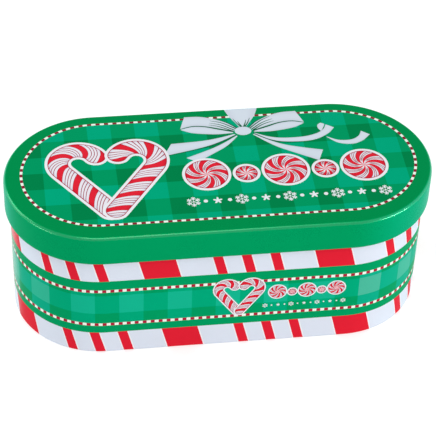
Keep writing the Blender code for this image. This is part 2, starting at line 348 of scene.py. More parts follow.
def faces_of(grid: np.ndarray) -> np.ndarray:
    """Gather the four corners of every cell of a grid, row by row.

    Args:
        grid: Values in rows and columns.

    Returns:
        For each cell its values at the four corners, taken round the cell.
    """
    around = [grid[:-1, :-1], grid[:-1, 1:], grid[1:, 1:], grid[1:, :-1]]
    cells = np.stack(around, axis=2)
    return cells.reshape(-1, *cells.shape[2:])


def make_object(
    name: str,
    patches: Sequence[Patch],
    finishes: Sequence[Material],
    finish_of_face: np.ndarray | None = None,
    shell: bool = False,
) -> bpy.types.Object:
    """Make one object from patches, with merged seams and poles.

    Args:
        name: Name of the object and its mesh.
        patches: The grids that it is made of.
        finishes: Its materials.
        finish_of_face: Number of the material of each face, or None for the first.
        shell: Whether it is a closed smooth shell, and not a flat layer.

    Returns:
        The new object, in the scene.
    """
    mesh = bpy.data.meshes.new(name)
    points = np.concatenate([patch.points.reshape(-1, 3) for patch in patches])
    starts = np.cumsum([0] + [patch.points.shape[0] * patch.points.shape[1] for patch in patches])
    cells = [patch.corners(int(start)) for patch, start in zip(patches, starts)]
    corners = np.concatenate(cells)
    mesh.from_pydata(points.tolist(), [], corners.tolist())
    layer = mesh.uv_layers.new(name=UV_NAME)
    places = np.concatenate([patch.loops().reshape(-1, 2) for patch in patches])
    layer.data.foreach_set("uv", places.astype(np.float32).ravel())
    inset = mesh.attributes.new(INSET_NAME, "FLOAT", "POINT")
    depths = np.concatenate([patch.inset.ravel() for patch in patches])
    inset.data.foreach_set("value", depths.astype(np.float32))
    if finish_of_face is not None:
        mesh.polygons.foreach_set("material_index", finish_of_face.astype(np.int32))
    close_seams(mesh, shell)
    for finish in finishes:
        mesh.materials.append(finish)
    if shell:
        mesh.shade_smooth()
        mesh.set_sharp_from_angle(angle=SHARP_TURN)
    else:
        mesh.shade_flat()
    thing = bpy.data.objects.new(name, mesh)
    bpy.context.scene.collection.objects.link(thing)
    return thing


def close_seams(mesh: bpy.types.Mesh, turn_outwards: bool) -> None:
    """Merge points that lie on each other and drop loose ones.

    Args:
        mesh: The mesh to close.
        turn_outwards: Whether its faces are turned outwards too.
    """
    editable = bmesh.new()
    editable.from_mesh(mesh)
    bmesh.ops.remove_doubles(editable, verts=editable.verts, dist=MERGE_DISTANCE)
    loose = [corner for corner in editable.verts if not corner.link_faces]
    bmesh.ops.delete(editable, geom=loose, context="VERTS")
    if turn_outwards:
        bmesh.ops.recalc_face_normals(editable, faces=editable.faces)
    editable.to_mesh(mesh)
    editable.free()


# Nodes


class Field:
    """What a node puts out, with the usual signs for arithmetic on numbers and masks."""

    def __init__(self, sheet: NodeSheet, socket: bpy.types.NodeSocket) -> None:
        """Hold an output in a sheet's tree."""
        self.sheet, self.socket = sheet, socket

    def math(self, operation: str, *others: Value) -> Field:
        """Take one step of arithmetic that starts from this number."""
        feeds = dict(enumerate((self, *others)))
        return self.sheet.node("ShaderNodeMath", feeds, operation=operation)

    def beside(self, output: str) -> Field:
        """Give another output of the same node."""
        return Field(self.sheet, self.socket.node.outputs[output])

    def __add__(self, other: Value) -> Field:
        """Add."""
        return self.math("ADD", other)

    def __sub__(self, other: Value) -> Field:
        """Subtract."""
        return self.math("SUBTRACT", other)

    def __mul__(self, other: Value) -> Field:
        """Multiply, which for masks gives one where both are one."""
        return self.math("MULTIPLY", other)

    def __truediv__(self, other: Value) -> Field:
        """Divide."""
        return self.math("DIVIDE", other)

    def __mod__(self, other: Value) -> Field:
        """Give what is left over whole steps, never less than nought."""
        return self.math("FLOORED_MODULO", other)

    def __or__(self, other: Value) -> Field:
        """Take the larger, which for masks gives one where either is one."""
        return self.math("MAXIMUM", other)

    def __gt__(self, other: Value) -> Field:
        """Give one where this is greater."""
        return self.math("GREATER_THAN", other)

    def __lt__(self, other: Value) -> Field:
        """Give one where this is less."""
        return self.math("LESS_THAN", other)

    def __abs__(self) -> Field:
        """Drop the sign."""
        return self.math("ABSOLUTE")


Value = float | Ink | Field


class NodeSheet:
    """A node tree, with short ways to add to it."""

    def __init__(self, tree: bpy.types.NodeTree) -> None:
        """Work on this tree."""
        self.tree = tree

    @classmethod
    def of_material(cls, name: str) -> tuple[Material, NodeSheet]:
        """Start a material with a plain Principled shader.

        Args:
            name: Name of the material.

        Returns:
            The material, and the sheet of its nodes.
        """
        material = bpy.data.materials.new(name)
        material.use_nodes = True
        return material, cls(material.node_tree)

    def fill(self, node: bpy.types.Node, feeds: dict[int | str, Value]) -> None:
        """Feed a node's inputs: a field is joined to its input, and a plain value is set.

        Args:
            node: The node.
            feeds: What each input takes.
        """
        for name, value in feeds.items():
            if isinstance(value, Field):
                self.tree.links.new(value.socket, node.inputs[name])
            else:
                node.inputs[name].default_value = value

    def shade(self, feeds: dict[int | str, Value]) -> None:
        """Feed inputs of the material's shader."""
        self.fill(self.tree.nodes["Principled BSDF"], feeds)

    def node(
        self, kind: str, feeds: dict[int | str, Value], output: int | str = 0, **options: object
    ) -> Field:
        """Add a node.

        Args:
            kind: Blender's name for it.
            feeds: What each input takes.
            output: Which of its outputs is wanted.
            options: The node's own options.

        Returns:
            That output.
        """
        node = self.tree.nodes.new(kind)
        for name, option in options.items():
            setattr(node, name, option)
        self.fill(node, feeds)
        return Field(self, node.outputs[output])

    def group(self, tree: bpy.types.NodeTree, feeds: dict[int | str, Value]) -> Field:
        """Place a node group and give its first output."""
        return self.node("ShaderNodeGroup", feeds, node_tree=tree)

    def mix(self, factor: Value, first: Value, second: Value) -> Field:
        """Blend from the first colour, at nought, to the second, at one."""
        return self.node("ShaderNodeMix", {0: factor, 6: first, 7: second}, 2, data_type="RGBA")

    def split(self, vector: Field) -> tuple[Field, Field, Field]:
        """Part a vector into its three numbers."""
        first = self.node("ShaderNodeSeparateXYZ", {0: vector})
        return first, first.beside("Y"), first.beside("Z")

    def scaled(self, vector: Value, amount: Value) -> Field:
        """Multiply a vector or a colour by a number."""
        feeds = {0: vector, "Scale": amount}
        return self.node("ShaderNodeVectorMath", feeds, operation="SCALE")

    def noise(self, place: Field, lumps: float, detail: float) -> Field:
        """Add clouds near a half, with so many lumps in a metre and finer layers on them."""
        feeds = {"Vector": place, "Scale": lumps, "Detail": detail}
        return self.node("ShaderNodeTexNoise", feeds)

    def ramp(self, value: Value, low: float, high: float) -> Field:
        """Rise smoothly from nought at the low value to one at the high value."""
        feeds = {"Value": value, "From Min": low, "From Max": high}
        return self.node("ShaderNodeMapRange", feeds, interpolation_type="SMOOTHSTEP")

    def object_place(self) -> Field:
        """Give the place on the piece in metres."""
        return self.node("ShaderNodeTexCoord", {}, "Object")

    def print_place(self) -> tuple[Field, Field]:
        """Give the piece's print coordinates, along and across."""
        return self.split(self.node("ShaderNodeUVMap", {}, uv_map=UV_NAME))[:2]

    def inset(self) -> Field:
        """Give the distance in from the edge of an ornament."""
        return self.node("ShaderNodeAttribute", {}, "Fac", attribute_name=INSET_NAME)

    def bump(self, height: Field, depth: float) -> Field:
        """Turn a height into a normal, for relief of this depth in metres."""
        return self.node("ShaderNodeBump", {"Height": height, "Distance": depth})

    def end_group(self, outputs: dict[str, tuple[str, Field]]) -> bpy.types.NodeTree:
        """Close a group.

        Args:
            outputs: Type and source of each named output.

        Returns:
            The group.
        """
        for label, (kind, _) in outputs.items():
            self.tree.interface.new_socket(name=label, in_out="OUTPUT", socket_type=kind)
        node = self.tree.nodes.new("NodeGroupOutput")
        self.fill(node, {label: field for label, (_, field) in outputs.items()})
        return self.tree


def start_group(name: str, inputs: dict[str, str]) -> tuple[NodeSheet, dict[str, Field]]:
    """Start a shader node group.

    Args:
        name: Name of the group.
        inputs: Type of each named input.

    Returns:
        The sheet to add nodes to, and the inputs as fields.
    """
    tree = bpy.data.node_groups.new(name, "ShaderNodeTree")
    for label, kind in inputs.items():
        tree.interface.new_socket(name=label, in_out="INPUT", socket_type=kind)
    sheet, node = NodeSheet(tree), tree.nodes.new("NodeGroupInput")
    return sheet, {label: Field(sheet, node.outputs[label]) for label in inputs}


@dataclass
class Effects:
    """Shader node groups that several finishes share, each built once."""

    cloud_lumps: float = 45.0
    cloud_detail: float = 3.0
    cloud_share: float = 0.6
    speck_lumps: float = 2600.0
    gloss_spread: float = 0.12
    wave_lumps: float = 16.0
    skin_lumps: float = 900.0
    skin_height: float = 0.03

    @cached_property
    def squares(self) -> bpy.types.NodeTree:
        """Woven-looking squares: light where two light strips cross, dark where none does.

        Returns:
            The group.
        """
        numbers = {"Across": FLOAT, "Up": FLOAT, "Size": FLOAT}
        colours = {"Dark": COLOUR, "Middle": COLOUR, "Light": COLOUR}
        sheet, given = start_group("woven_squares", numbers | colours)
        counts = [(given[label] / given["Size"]).math("FLOOR") for label in ("Across", "Up")]
        column, row = (count % 2.0 for count in counts)
        tone = sheet.mix(column | row, given["Dark"], given["Middle"])
        return sheet.end_group({"Color": (COLOUR, sheet.mix(column * row, tone, given["Light"]))})

    @cached_property
    def stitches(self) -> bpy.types.NodeTree:
        """Line of white and red stitches by turns, along a line that has a width.

        Returns:
            The group.
        """
        numbers = {"Offset": FLOAT, "Along": FLOAT, "Width": FLOAT, "Pitch": FLOAT}
        colours = {"Under": COLOUR, "White": COLOUR, "Red": COLOUR}
        sheet, given = start_group("stitch_line", numbers | colours)
        red = (given["Along"] / given["Pitch"]).math("FRACT") > 0.5
        on_line = abs(given["Offset"]) < given["Width"] * 0.5
        thread = sheet.mix(red, given["White"], given["Red"])
        return sheet.end_group({"Color": (COLOUR, sheet.mix(on_line, given["Under"], thread))})

    @cached_property
    def ink_grain(self) -> bpy.types.NodeTree:
        """Slight clouds and specks in a printed colour, and in the gloss over it.

        Returns:
            The group.
        """
        inputs = {"Color": COLOUR, "Place": VECTOR, "Amount": FLOAT, "Gloss": FLOAT}
        sheet, given = start_group("ink_grain", inputs)
        clouds = sheet.noise(given["Place"], self.cloud_lumps, self.cloud_detail)
        specks = sheet.noise(given["Place"], self.speck_lumps, 1.0)
        both = specks * (1 - self.cloud_share) + clouds * self.cloud_share
        centred = both - 0.5
        tone = sheet.scaled(given["Color"], centred * given["Amount"] + 1.0)
        rough = centred * self.gloss_spread + given["Gloss"]
        return sheet.end_group({"Color": (COLOUR, tone), "Roughness": (FLOAT, rough)})

    @cached_property
    def sheet_ripple(self) -> bpy.types.NodeTree:
        """Height of a thin sheet's slight waviness and of its lacquer's fine skin.

        Returns:
            The group.
        """
        sheet, given = start_group("sheet_ripple", {"Place": VECTOR})
        waves = sheet.noise(given["Place"], self.wave_lumps, 1.0)
        skin = sheet.noise(given["Place"], self.skin_lumps, 2.0)
        return sheet.end_group({"Height": (FLOAT, skin * self.skin_height + waves)})

    @cached_property
    def outline(self) -> bpy.types.NodeTree:
        """White rim and fine red line round an ornament, over its own colour.

        Returns:
            The group.
        """
        inputs = {"Inset": FLOAT, "Rim": FLOAT, "Line": FLOAT, "Color": COLOUR}
        colours = {"White": COLOUR, "Red": COLOUR}
        sheet, given = start_group("ornament_outline", inputs | colours)
        on_line = given["Inset"] < given["Rim"] + given["Line"]
        lined = sheet.mix(on_line, given["Color"], given["Red"])
        rimmed = sheet.mix(given["Inset"] < given["Rim"], lined, given["White"])
        return sheet.end_group({"Color": (COLOUR, rimmed)})


# Finishes


@dataclass(frozen=True)
class Inks:
    """Colours of the print, with painted light on the lid's skirt and painted haze on the wall's
    squares.
    """

    border_green: Ink = ink(0, 141, 75)
    skirt_green: Ink = ink(0, 152, 92)
    # Painted light: a lighter green for the lid's skirt round its ends and back, where side light
    # falls.
    skirt_painted_light: Ink = ink(0, 165, 114)
    lid_dark: Ink = ink(0, 129, 72)
    lid_middle: Ink = ink(0, 152, 96)
    lid_light: Ink = ink(0, 167, 123)
    band_green: Ink = ink(0, 155, 95)
    wall_dark: Ink = ink(0, 155, 96)
    wall_middle: Ink = ink(0, 168, 121)
    wall_light: Ink = ink(20, 181, 143)
    # Painted reflection: paler middle and light square tones for the wall's ends, standing in for
    # the lacquer's haze.
    wall_middle_painted_haze: Ink = ink(10, 171, 134)
    wall_light_painted_haze: Ink = ink(74, 182, 153)
    candy_red: Ink = ink(227, 33, 53)
    candy_white: Ink = ink(222, 228, 241)
    candy_pale: Ink = ink(236, 235, 243)
    candy_shade: Ink = ink(214, 218, 233)
    candy_deep: Ink = ink(206, 26, 46)
    candy_line: Ink = ink(158, 16, 48)
    edge_white: Ink = ink(237, 240, 245)
    bar_edge: Ink = ink(243, 240, 244)
    stitch_white: Ink = ink(245, 250, 240)
    stitch_red: Ink = ink(176, 28, 60)
    lid_stitch_red: Ink = ink(140, 26, 54)
    line_red: Ink = ink(178, 18, 50)
    ribbon: Ink = ink(214, 225, 236)
    ribbon_fold: Ink = ink(207, 216, 229)
    fold_green: Ink = ink(0, 98, 62)


INKS = Inks()


@dataclass(frozen=True)
class Lacquer:
    """Clear lacquer over the print, with the sheet's slight unevenness."""

    gloss: float = 0.36
    specular: float = 0.04
    metallic: float = 0.0
    edge_tint: Ink = (1.0, 1.0, 1.0, 1.0)
    coat: float = 0.01
    coat_roughness: float = 0.12
    grain: float = 0.10
    ripple: float = 0.06 * MM

    def start(self, name: str) -> tuple[Material, NodeSheet]:
        """Start a material with the lacquer's plain values on its shader.

        Args:
            name: Name of the material.

        Returns:
            The material, and the sheet of its nodes.
        """
        material, sheet = NodeSheet.of_material(name)
        sheet.shade(
            {
                "Specular IOR Level": self.specular,
                "Metallic": self.metallic,
                "Specular Tint": self.edge_tint,
                "Coat Weight": self.coat,
                "Coat Roughness": self.coat_roughness,
            }
        )
        return material, sheet

    def lay(
        self, sheet: NodeSheet, effects: Effects, colour: Value, coat: Field | None = None
    ) -> None:
        """Lay the lacquer over a printed colour.

        Args:
            sheet: The material's nodes.
            effects: The shared node groups.
            colour: The printed colour.
            coat: Mask of where the lacquer lies thicker, or None where it is even.
        """
        place = sheet.object_place()
        feeds = {"Color": colour, "Place": place, "Amount": self.grain, "Gloss": self.gloss}
        tone = sheet.group(effects.ink_grain, feeds)
        normal = sheet.bump(sheet.group(effects.sheet_ripple, {"Place": place}), self.ripple)
        sheet.shade({"Base Color": tone, "Roughness": tone.beside("Roughness"), "Normal": normal})
        if coat is not None:
            sheet.shade({"Coat Weight": coat})


@dataclass(frozen=True)
class LidPrint:
    """Print of the lid: squares, a ring of stitches, a plain border and skirt, with painted light
    on the skirt's ends.
    """

    lacquer: Lacquer = Lacquer(
        gloss=0.28, specular=0.01, metallic=0.3, edge_tint=(0.05, 1.0, 1.0, 1.0), coat=0.0
    )
    square: float = 12.13 * MM
    column_start: float = -3.2 * MM
    row_start: float = 3.6 * MM
    stitch_reach: float = 38.7 * MM
    stitch_width: float = 1.35 * MM
    stitch_count: int = 112
    stitch_shift: float = 1.8 * MM
    drift_x: float = 0.4 * MM
    drift_y: float = 1.1 * MM
    ribbon_middle: float = 16.9 * MM
    ribbon_half: float = 8.5 * MM
    border_low: float = 0.45 * MM
    border_high: float = 0.02 * MM
    crease_coat: float = 0.65
    crease_rise: tuple[float, float] = (1.575 * MM, 1.05 * MM)
    crease_fall: tuple[float, float] = (0.45 * MM, 0.135 * MM)
    # Painted light: stretches along the skirt where its green is painted lighter.
    painted_light_right: tuple[float, float] = (58.0 * MM, 86.0 * MM)
    painted_light_left: tuple[float, float] = (100.0 * MM, 118.0 * MM)

    def build(self, effects: Effects) -> Material:
        """Build the material of the lid's outer face.

        The skirt's green is painted lighter round the ends and at the back, a painted light that
        stands in for side light falling there, and the lacquer lies thicker on the crease between
        the skirt and the top.

        Args:
            effects: The shared node groups.

        Returns:
            The material.
        """
        material, sheet = self.lacquer.start("lid_print")
        across, depth, height = sheet.split(sheet.object_place())
        along, _ = sheet.print_place()
        below = height * -1.0 + SIZES.height
        squares = sheet.group(
            effects.squares,
            {
                "Across": across - self.column_start,
                "Up": depth - (self.row_start - self.square),
                "Size": self.square,
                "Dark": INKS.lid_dark,
                "Middle": INKS.lid_middle,
                "Light": INKS.lid_light,
            },
        )
        # Painted light: the skirt's green turns lighter round the ends and back, standing in for
        # light from the sides.
        ends = sheet.ramp(along, *self.painted_light_right) | sheet.ramp(along * -1.0, *self.painted_light_left)
        skirt = sheet.mix(ends, INKS.skirt_green, INKS.skirt_painted_light)
        top = sheet.ramp(below, self.border_low, self.border_high)
        border = sheet.mix(top, skirt, INKS.border_green)
        reach = self.reach(across, depth)
        length = 4 * SIZES.spine_half + 2 * math.pi * self.stitch_reach
        colour = sheet.group(
            effects.stitches,
            {
                "Under": sheet.mix(reach > self.stitch_reach, squares, border),
                "Offset": reach - self.stitch_reach,
                "Along": along + self.stitch_shift,
                "Width": self.stitch_width,
                "Pitch": length / self.stitch_count,
                "White": INKS.stitch_white,
                "Red": INKS.lid_stitch_red,
            },
        )
        ribbon = abs(across - self.ribbon_middle) < self.ribbon_half
        ribbon = ribbon * (depth > SIZES.lid_reach - SIZES.shoulder_radius)
        colour = sheet.mix(ribbon, colour, INKS.ribbon)
        crease = sheet.ramp(below, *self.crease_rise) - sheet.ramp(below, *self.crease_fall)
        self.lacquer.lay(sheet, effects, colour, crease * self.crease_coat)
        return material

    def reach(self, across: Field, depth: Field) -> Field:
        """Give the distance from the print's own spine, which has drifted a little.

        The distance is the root of the squares of what lies past the spine's end and of
        the depth.

        Args:
            across: Place along the lid.
            depth: Place across the lid.

        Returns:
            The distance.
        """
        past = (abs(across - self.drift_x) - SIZES.spine_half) | 0.0
        up = depth - self.drift_y
        return (up * up + past * past).math("SQRT")


@dataclass(frozen=True)
class WallPrint:
    """Print of the wall: candy bars above and below, stitches, and a row of squares, with painted
    haze on the squares near the ends.
    """

    lacquer: Lacquer = Lacquer(
        specular=0.01, metallic=0.15, edge_tint=(0.3, 1.0, 1.0, 1.0), coat=0.0
    )
    upper_candy: float = 49.4 * MM
    lower_candy: float = 14.1 * MM
    upper_stitch: float = 42.7 * MM
    lower_stitch: float = 19.8 * MM
    stitch_width: float = 1.75 * MM
    stitch_count: int = 130
    stitch_shift: float = 0.6 * MM
    square: float = 12.13 * MM
    column_start: float = -6.1 * MM
    row_start: float = 27.4 * MM
    repeats: int = 6
    reference_height: float = 61.0 * MM
    slope: float = 0.248
    wide_start: float = -44.9 * MM
    wide_width: float = 18.2 * MM
    narrow_width: float = 4.9 * MM
    narrow_first: float = 36.5 * MM
    narrow_pitch: float = 14.2 * MM
    narrow_bars: int = 3
    bright_edge: float = 0.6 * MM
    # Painted reflection: stretches along the wall whose squares are painted paler, and how
    # strongly on the left.
    painted_haze_right: tuple[float, float] = (66.3 * MM, 200.2 * MM)
    painted_haze_left: tuple[float, float] = (-200.2 * MM, -90.7 * MM)
    left_painted_haze: float = 0.45
    end_coat: float = 0.5
    end_near: float = 8.0 * MM
    end_far: float = 20.0 * MM

    def bars(self, sheet: NodeSheet, lean: Field, spread: float) -> Field:
        """Give a mask of the red bars, each spread a little on both sides.

        A place is measured past the start of the wide bar, within one repeat and along the
        bars' lean.

        Args:
            sheet: The material's nodes; not used.
            lean: Place along the wall, carried down the bars' lean.
            spread: How much wider each bar is on either side.

        Returns:
            The mask.
        """
        start = self.wide_start + self.slope * self.reference_height - spread
        offset = (lean - start) % (WALL_LENGTH / self.repeats)
        narrow = offset - self.narrow_first
        inside = narrow % self.narrow_pitch < self.narrow_width + 2 * spread
        inside = inside * (narrow > 0.0) * (narrow < self.narrow_bars * self.narrow_pitch)
        return (offset < self.wide_width + 2 * spread) | inside

    def build(self, effects: Effects) -> Material:
        """Build the material of the wall's outer face.

        The squares are painted paler round the right-hand end, and a little so round the left one,
        a painted reflection of haze on the lacquer.
        The lacquer lies thicker in the middle of each end.

        Args:
            effects: The shared node groups.

        Returns:
            The material.
        """
        material, sheet = self.lacquer.start("wall_print")
        along, height = sheet.print_place()
        # Painted reflection: masks of the two ends, where the squares' middle and light tones are
        # painted paler as haze on the lacquer would look.
        left, right = (
            (along > start) * (along < stop) for start, stop in (self.painted_haze_left, self.painted_haze_right)
        )
        squares = sheet.group(
            effects.squares,
            {
                "Across": along - (self.column_start - self.square),
                "Up": height - (self.row_start - self.square),
                "Size": self.square,
                "Dark": INKS.wall_dark,
                "Middle": sheet.mix(left + right, INKS.wall_middle, INKS.wall_middle_painted_haze),
                "Light": sheet.mix(
                    left * self.left_painted_haze + right, INKS.wall_light, INKS.wall_light_painted_haze
                ),
            },
        )
        panel = (height < self.upper_stitch) * (height > self.lower_stitch)
        colour = sheet.mix(panel, INKS.band_green, squares)
        lean = height * self.slope + along
        candy = sheet.mix(
            self.bars(sheet, lean, self.bright_edge), INKS.candy_white, INKS.bar_edge
        )
        candy = sheet.mix(self.bars(sheet, lean, 0.0), candy, INKS.candy_red)
        banded = (height > self.upper_candy) | (height < self.lower_candy)
        colour = sheet.mix(banded, colour, candy)
        for line in (self.upper_stitch, self.lower_stitch):
            colour = sheet.group(
                effects.stitches,
                {
                    "Under": colour,
                    "Offset": height - line,
                    "Along": along + self.stitch_shift,
                    "Width": self.stitch_width,
                    "Pitch": WALL_LENGTH / self.stitch_count,
                    "White": INKS.stitch_white,
                    "Red": INKS.stitch_red,
                },
            )
        middle = SIZES.spine_half + math.pi / 2 * SIZES.body_reach
        fall = sheet.ramp(abs(abs(along) - middle), self.end_near, self.end_far)
        self.lacquer.lay(sheet, effects, colour, fall * -self.end_coat + self.end_coat)
        return material


@dataclass(frozen=True)
class BareTinplate:
    """Rolled tinplate under a clear lacquer, for the inside and the bottom."""

    bright: Ink = ink(212, 212, 208)
    dull: Ink = ink(188, 189, 187)
    gloss: float = 0.20
    gloss_spread: float = 0.16
    ripple: float = 0.03 * MM
    rolled: tuple[float, float, float] = (0.02, 1.0, 1.0)
    streak_lumps: float = 2400.0
    streak_detail: float = 3.0
    streak_share: float = 0.6
    streak_height: float = 0.03
    cloud_lumps: float = 40.0

    def build(self, effects: Effects) -> Material:
        """Build the bare metal, with streaks along X, as the sheet was rolled.

        Args:
            effects: The shared node groups.

        Returns:
            The material.
        """
        material, sheet = NodeSheet.of_material("bare_tinplate")
        place = sheet.object_place()
        drawn = sheet.node("ShaderNodeMapping", {"Scale": self.rolled, "Vector": place})
        streaks = sheet.noise(drawn, self.streak_lumps, self.streak_detail)
        clouds = sheet.noise(place, self.cloud_lumps, 2.0)
        tone = streaks * self.streak_share + clouds * (1 - self.streak_share)
        ripple = sheet.group(effects.sheet_ripple, {"Place": place})
        sheet.shade(
            {
                "Metallic": 1.0,
                "Base Color": sheet.mix(tone, self.dull, self.bright),
                "Roughness": tone * self.gloss_spread + self.gloss,
                "Normal": sheet.bump(streaks * self.streak_height + ripple, self.ripple),
            }
        )
        return material


@dataclass(frozen=True)
class CandyRim:
    """Rim of a candy ornament: white outside, a fine red line, and a soft inner shade."""

    white: float = 1.45 * MM
    line: float = 0.42 * MM
    shade_depth: float = 2.4 * MM

    def colour(self, sheet: NodeSheet, effects: Effects, red: Field, fine: Field) -> Field:
        """Colour an ornament from the masks of its red stripes and of its fine lines.

        Args:
            sheet: The material's nodes.
            effects: The shared node groups.
            red: One where a stripe is red.
            fine: One where a fine dark line runs.

        Returns:
            The ornament's colour, rim and all.
        """
        inset = sheet.inset()
        middle = sheet.ramp(inset, self.white, self.white + self.shade_depth)
        pale = sheet.mix(middle, INKS.candy_shade, INKS.candy_pale)
        deep = sheet.mix(middle, INKS.candy_deep, INKS.candy_red)
        feeds = {
            "Inset": inset,
            "Rim": self.white,
            "Line": self.line,
            "Color": sheet.mix(fine, sheet.mix(red, pale, deep), INKS.candy_line),
            "White": INKS.edge_white,
            "Red": INKS.line_red,
        }
        return sheet.group(effects.outline, feeds)


def stripe_masks(
    share: Field, wide: float, lines: Sequence[float], half: float | Field
) -> tuple[Field, Field]:
    """Mark a wide stripe, and the fine lines along its edges and after it.

    The distance from a line wraps round the repeat, so an edge on the repeat's start
    shows on both sides of it. The lines along the edges are a little finer.

    Args:
        share: Place within the repeat, from nought to one.
        wide: Width of the wide stripe, as a share of the repeat.
        lines: Middles of the fine lines, as shares of the repeat.
        half: Half a fine line's width, as a share of the repeat.

    Returns:
        The masks of the wide stripe and of the fine lines.
    """
    edge = half * EDGE_LINE_SHARE
    marks = [
        (share - middle).math("PINGPONG", 0.5) < reach
        for middle, reach in ((0.0, edge), (wide, edge), *((line, half) for line in lines))
    ]
    return share < wide, reduce(Field.__or__, marks)


@dataclass(frozen=True)
class CandyPrint:
    """Slanted, slightly bowed red stripes on white, with fine lines between each two."""

    name: str
    pitch: float
    rim: CandyRim
    slant: float = 0.85
    bow: float = 0.55
    wide: float = 0.33
    lines: tuple[float, ...] = (0.51, 0.665, 0.82)
    half_line: float = 0.020
    lacquer: Lacquer = Lacquer()

    def build(self, effects: Effects) -> Material:
        """Build the material of striped candy.

        The place within a repeat is the way along the cane, plus a share of the place
        across it and of that place's square, as a stripe runs round a stick.

        Args:
            effects: The shared node groups.

        Returns:
            The material.
        """
        material, sheet = self.lacquer.start(self.name)
        place, side = (part / self.pitch for part in sheet.print_place())
        share = (side * side * self.bow + (side * self.slant + place)) % 1.0
        red, fine = stripe_masks(share, self.wide, self.lines, self.half_line)
        self.lacquer.lay(sheet, effects, self.rim.colour(sheet, effects, red, fine))
        return material


@dataclass(frozen=True)
class PinwheelPrint:
    """Curved red sectors on white round a middle, as on a peppermint."""

    name: str
    radius: float
    rim: CandyRim
    sectors: int = 8
    twist: float = 1.15
    wide: float = 0.45
    lines: tuple[float, ...] = (0.64, 0.81)
    line_width: float = 0.42 * MM
    line_start: float = 0.36
    heart: float = 0.1 * MM
    lacquer: Lacquer = Lacquer()

    def build(self, effects: Effects) -> Material:
        """Build the material of a peppermint.

        The sector at a place is the place's angle plus a turn that grows outwards. The
        fine lines keep their width, so their share of a sector shrinks with the radius,
        and they start a little out from the middle.

        Args:
            effects: The shared node groups.

        Returns:
            The material.
        """
        material, sheet = self.lacquer.start(self.name)
        across, up = sheet.print_place()
        radius = (up * up + across * across).math("SQRT")
        turned = radius * (self.twist / self.radius) + up.math("ARCTAN2", across)
        share = turned * (self.sectors / (2 * math.pi)) % 1.0
        start = self.line_start * self.radius
        breadth = self.line_width * self.sectors / (4 * math.pi)
        half = sheet.ramp(radius, start / 2, start) * breadth / (radius | self.heart)
        red, fine = stripe_masks(share, self.wide, self.lines, half)
        self.lacquer.lay(sheet, effects, self.rim.colour(sheet, effects, red, fine))
        return material


@dataclass(frozen=True)
class RibbonPrint:
    """Pale ribbon, a little darker towards its edges."""

    shade_start: float = 0.15
    lacquer: Lacquer = Lacquer()

    def build(self, effects: Effects) -> Material:
        """Build the ribbon's material.

        Args:
            effects: The shared node groups.

        Returns:
            The material.
        """
        material, sheet = self.lacquer.start("ribbon_print")
        _, across = sheet.print_place()
        shade = sheet.ramp(abs(across - 0.5), self.shade_start, 0.5)
        self.lacquer.lay(sheet, effects, sheet.mix(shade, INKS.ribbon, INKS.ribbon_fold))
        return material


@dataclass(frozen=True)
class PlainPrint:
    """Print in one ink."""

    name: str
    colour: Ink
    lacquer: Lacquer = Lacquer()

    def build(self, effects: Effects) -> Material:
        """Build the ink's material.

        Args:
            effects: The shared node groups.

        Returns:
            The material.
        """
        material, sheet = self.lacquer.start(self.name)
        self.lacquer.lay(sheet, effects, self.colour)
        return material


# Shells


@dataclass
class LidShell:
    """Slip lid, pressed from one sheet, with its skirt's edge curled inwards."""

    panel_reaches: tuple[float, ...] = (0.0, 12 * MM, 24 * MM, 36 * MM, 42 * MM)
    shoulder_steps: int = 14
    skirt_stops: tuple[float, ...] = (0.25, 0.5, 0.75, 1.0)
    curl_steps: int = 26

    def profile(self) -> SheetProfile:
        """Draw the lid's sheet from its flat top to the inward curl.

        Returns:
            The sheet's middle line.
        """
        reach = SIZES.lid_reach - SIZES.shoulder_radius
        line = SheetProfile(reach, SIZES.height - SIZES.sheet / 2, 0)
        line.bend(SIZES.shoulder_radius - SIZES.sheet / 2, -90, self.shoulder_steps)
        upright = SIZES.skirt_depth - SIZES.shoulder_radius - SIZES.lid_curl_radius
        line.run(upright, self.skirt_stops)
        line.bend(SIZES.lid_curl_radius - SIZES.sheet / 2, -SIZES.curl_turn, self.curl_steps)
        return line

    def build(self, printed: Material, bare: Material) -> bpy.types.Object:
        """Build the lid.

        Args:
            printed: Finish of its outer face.
            bare: Finish of its inner face.

        Returns:
            The lid as one closed shell.
        """
        outer, inner = self.profile().faces()
        reaches = np.array(self.panel_reaches)
        top = np.stack([reaches, np.full_like(reaches, SIZES.height)], axis=1)
        under = top[::-1] - np.array([0.0, SIZES.sheet])
        section = np.concatenate([top, outer, inner[::-1], under])
        points = PLAN.carry(section)
        along = PLAN.along(LidPrint().stitch_reach)
        place = np.stack(np.broadcast_arrays(along[None, :], section[:, 1:]), axis=2)
        patch = Patch(points, place, np.zeros(points.shape[:2]), wraps=True)
        strips = np.arange(len(section) - 1) >= len(top) + len(outer) - 1
        finish = np.repeat(strips.astype(int), points.shape[1] - 1)
        shell = make_object("lid_shell", [patch], [printed, bare], finish, True)
        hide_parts("lid")
        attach(shell, "lid")
        return shell


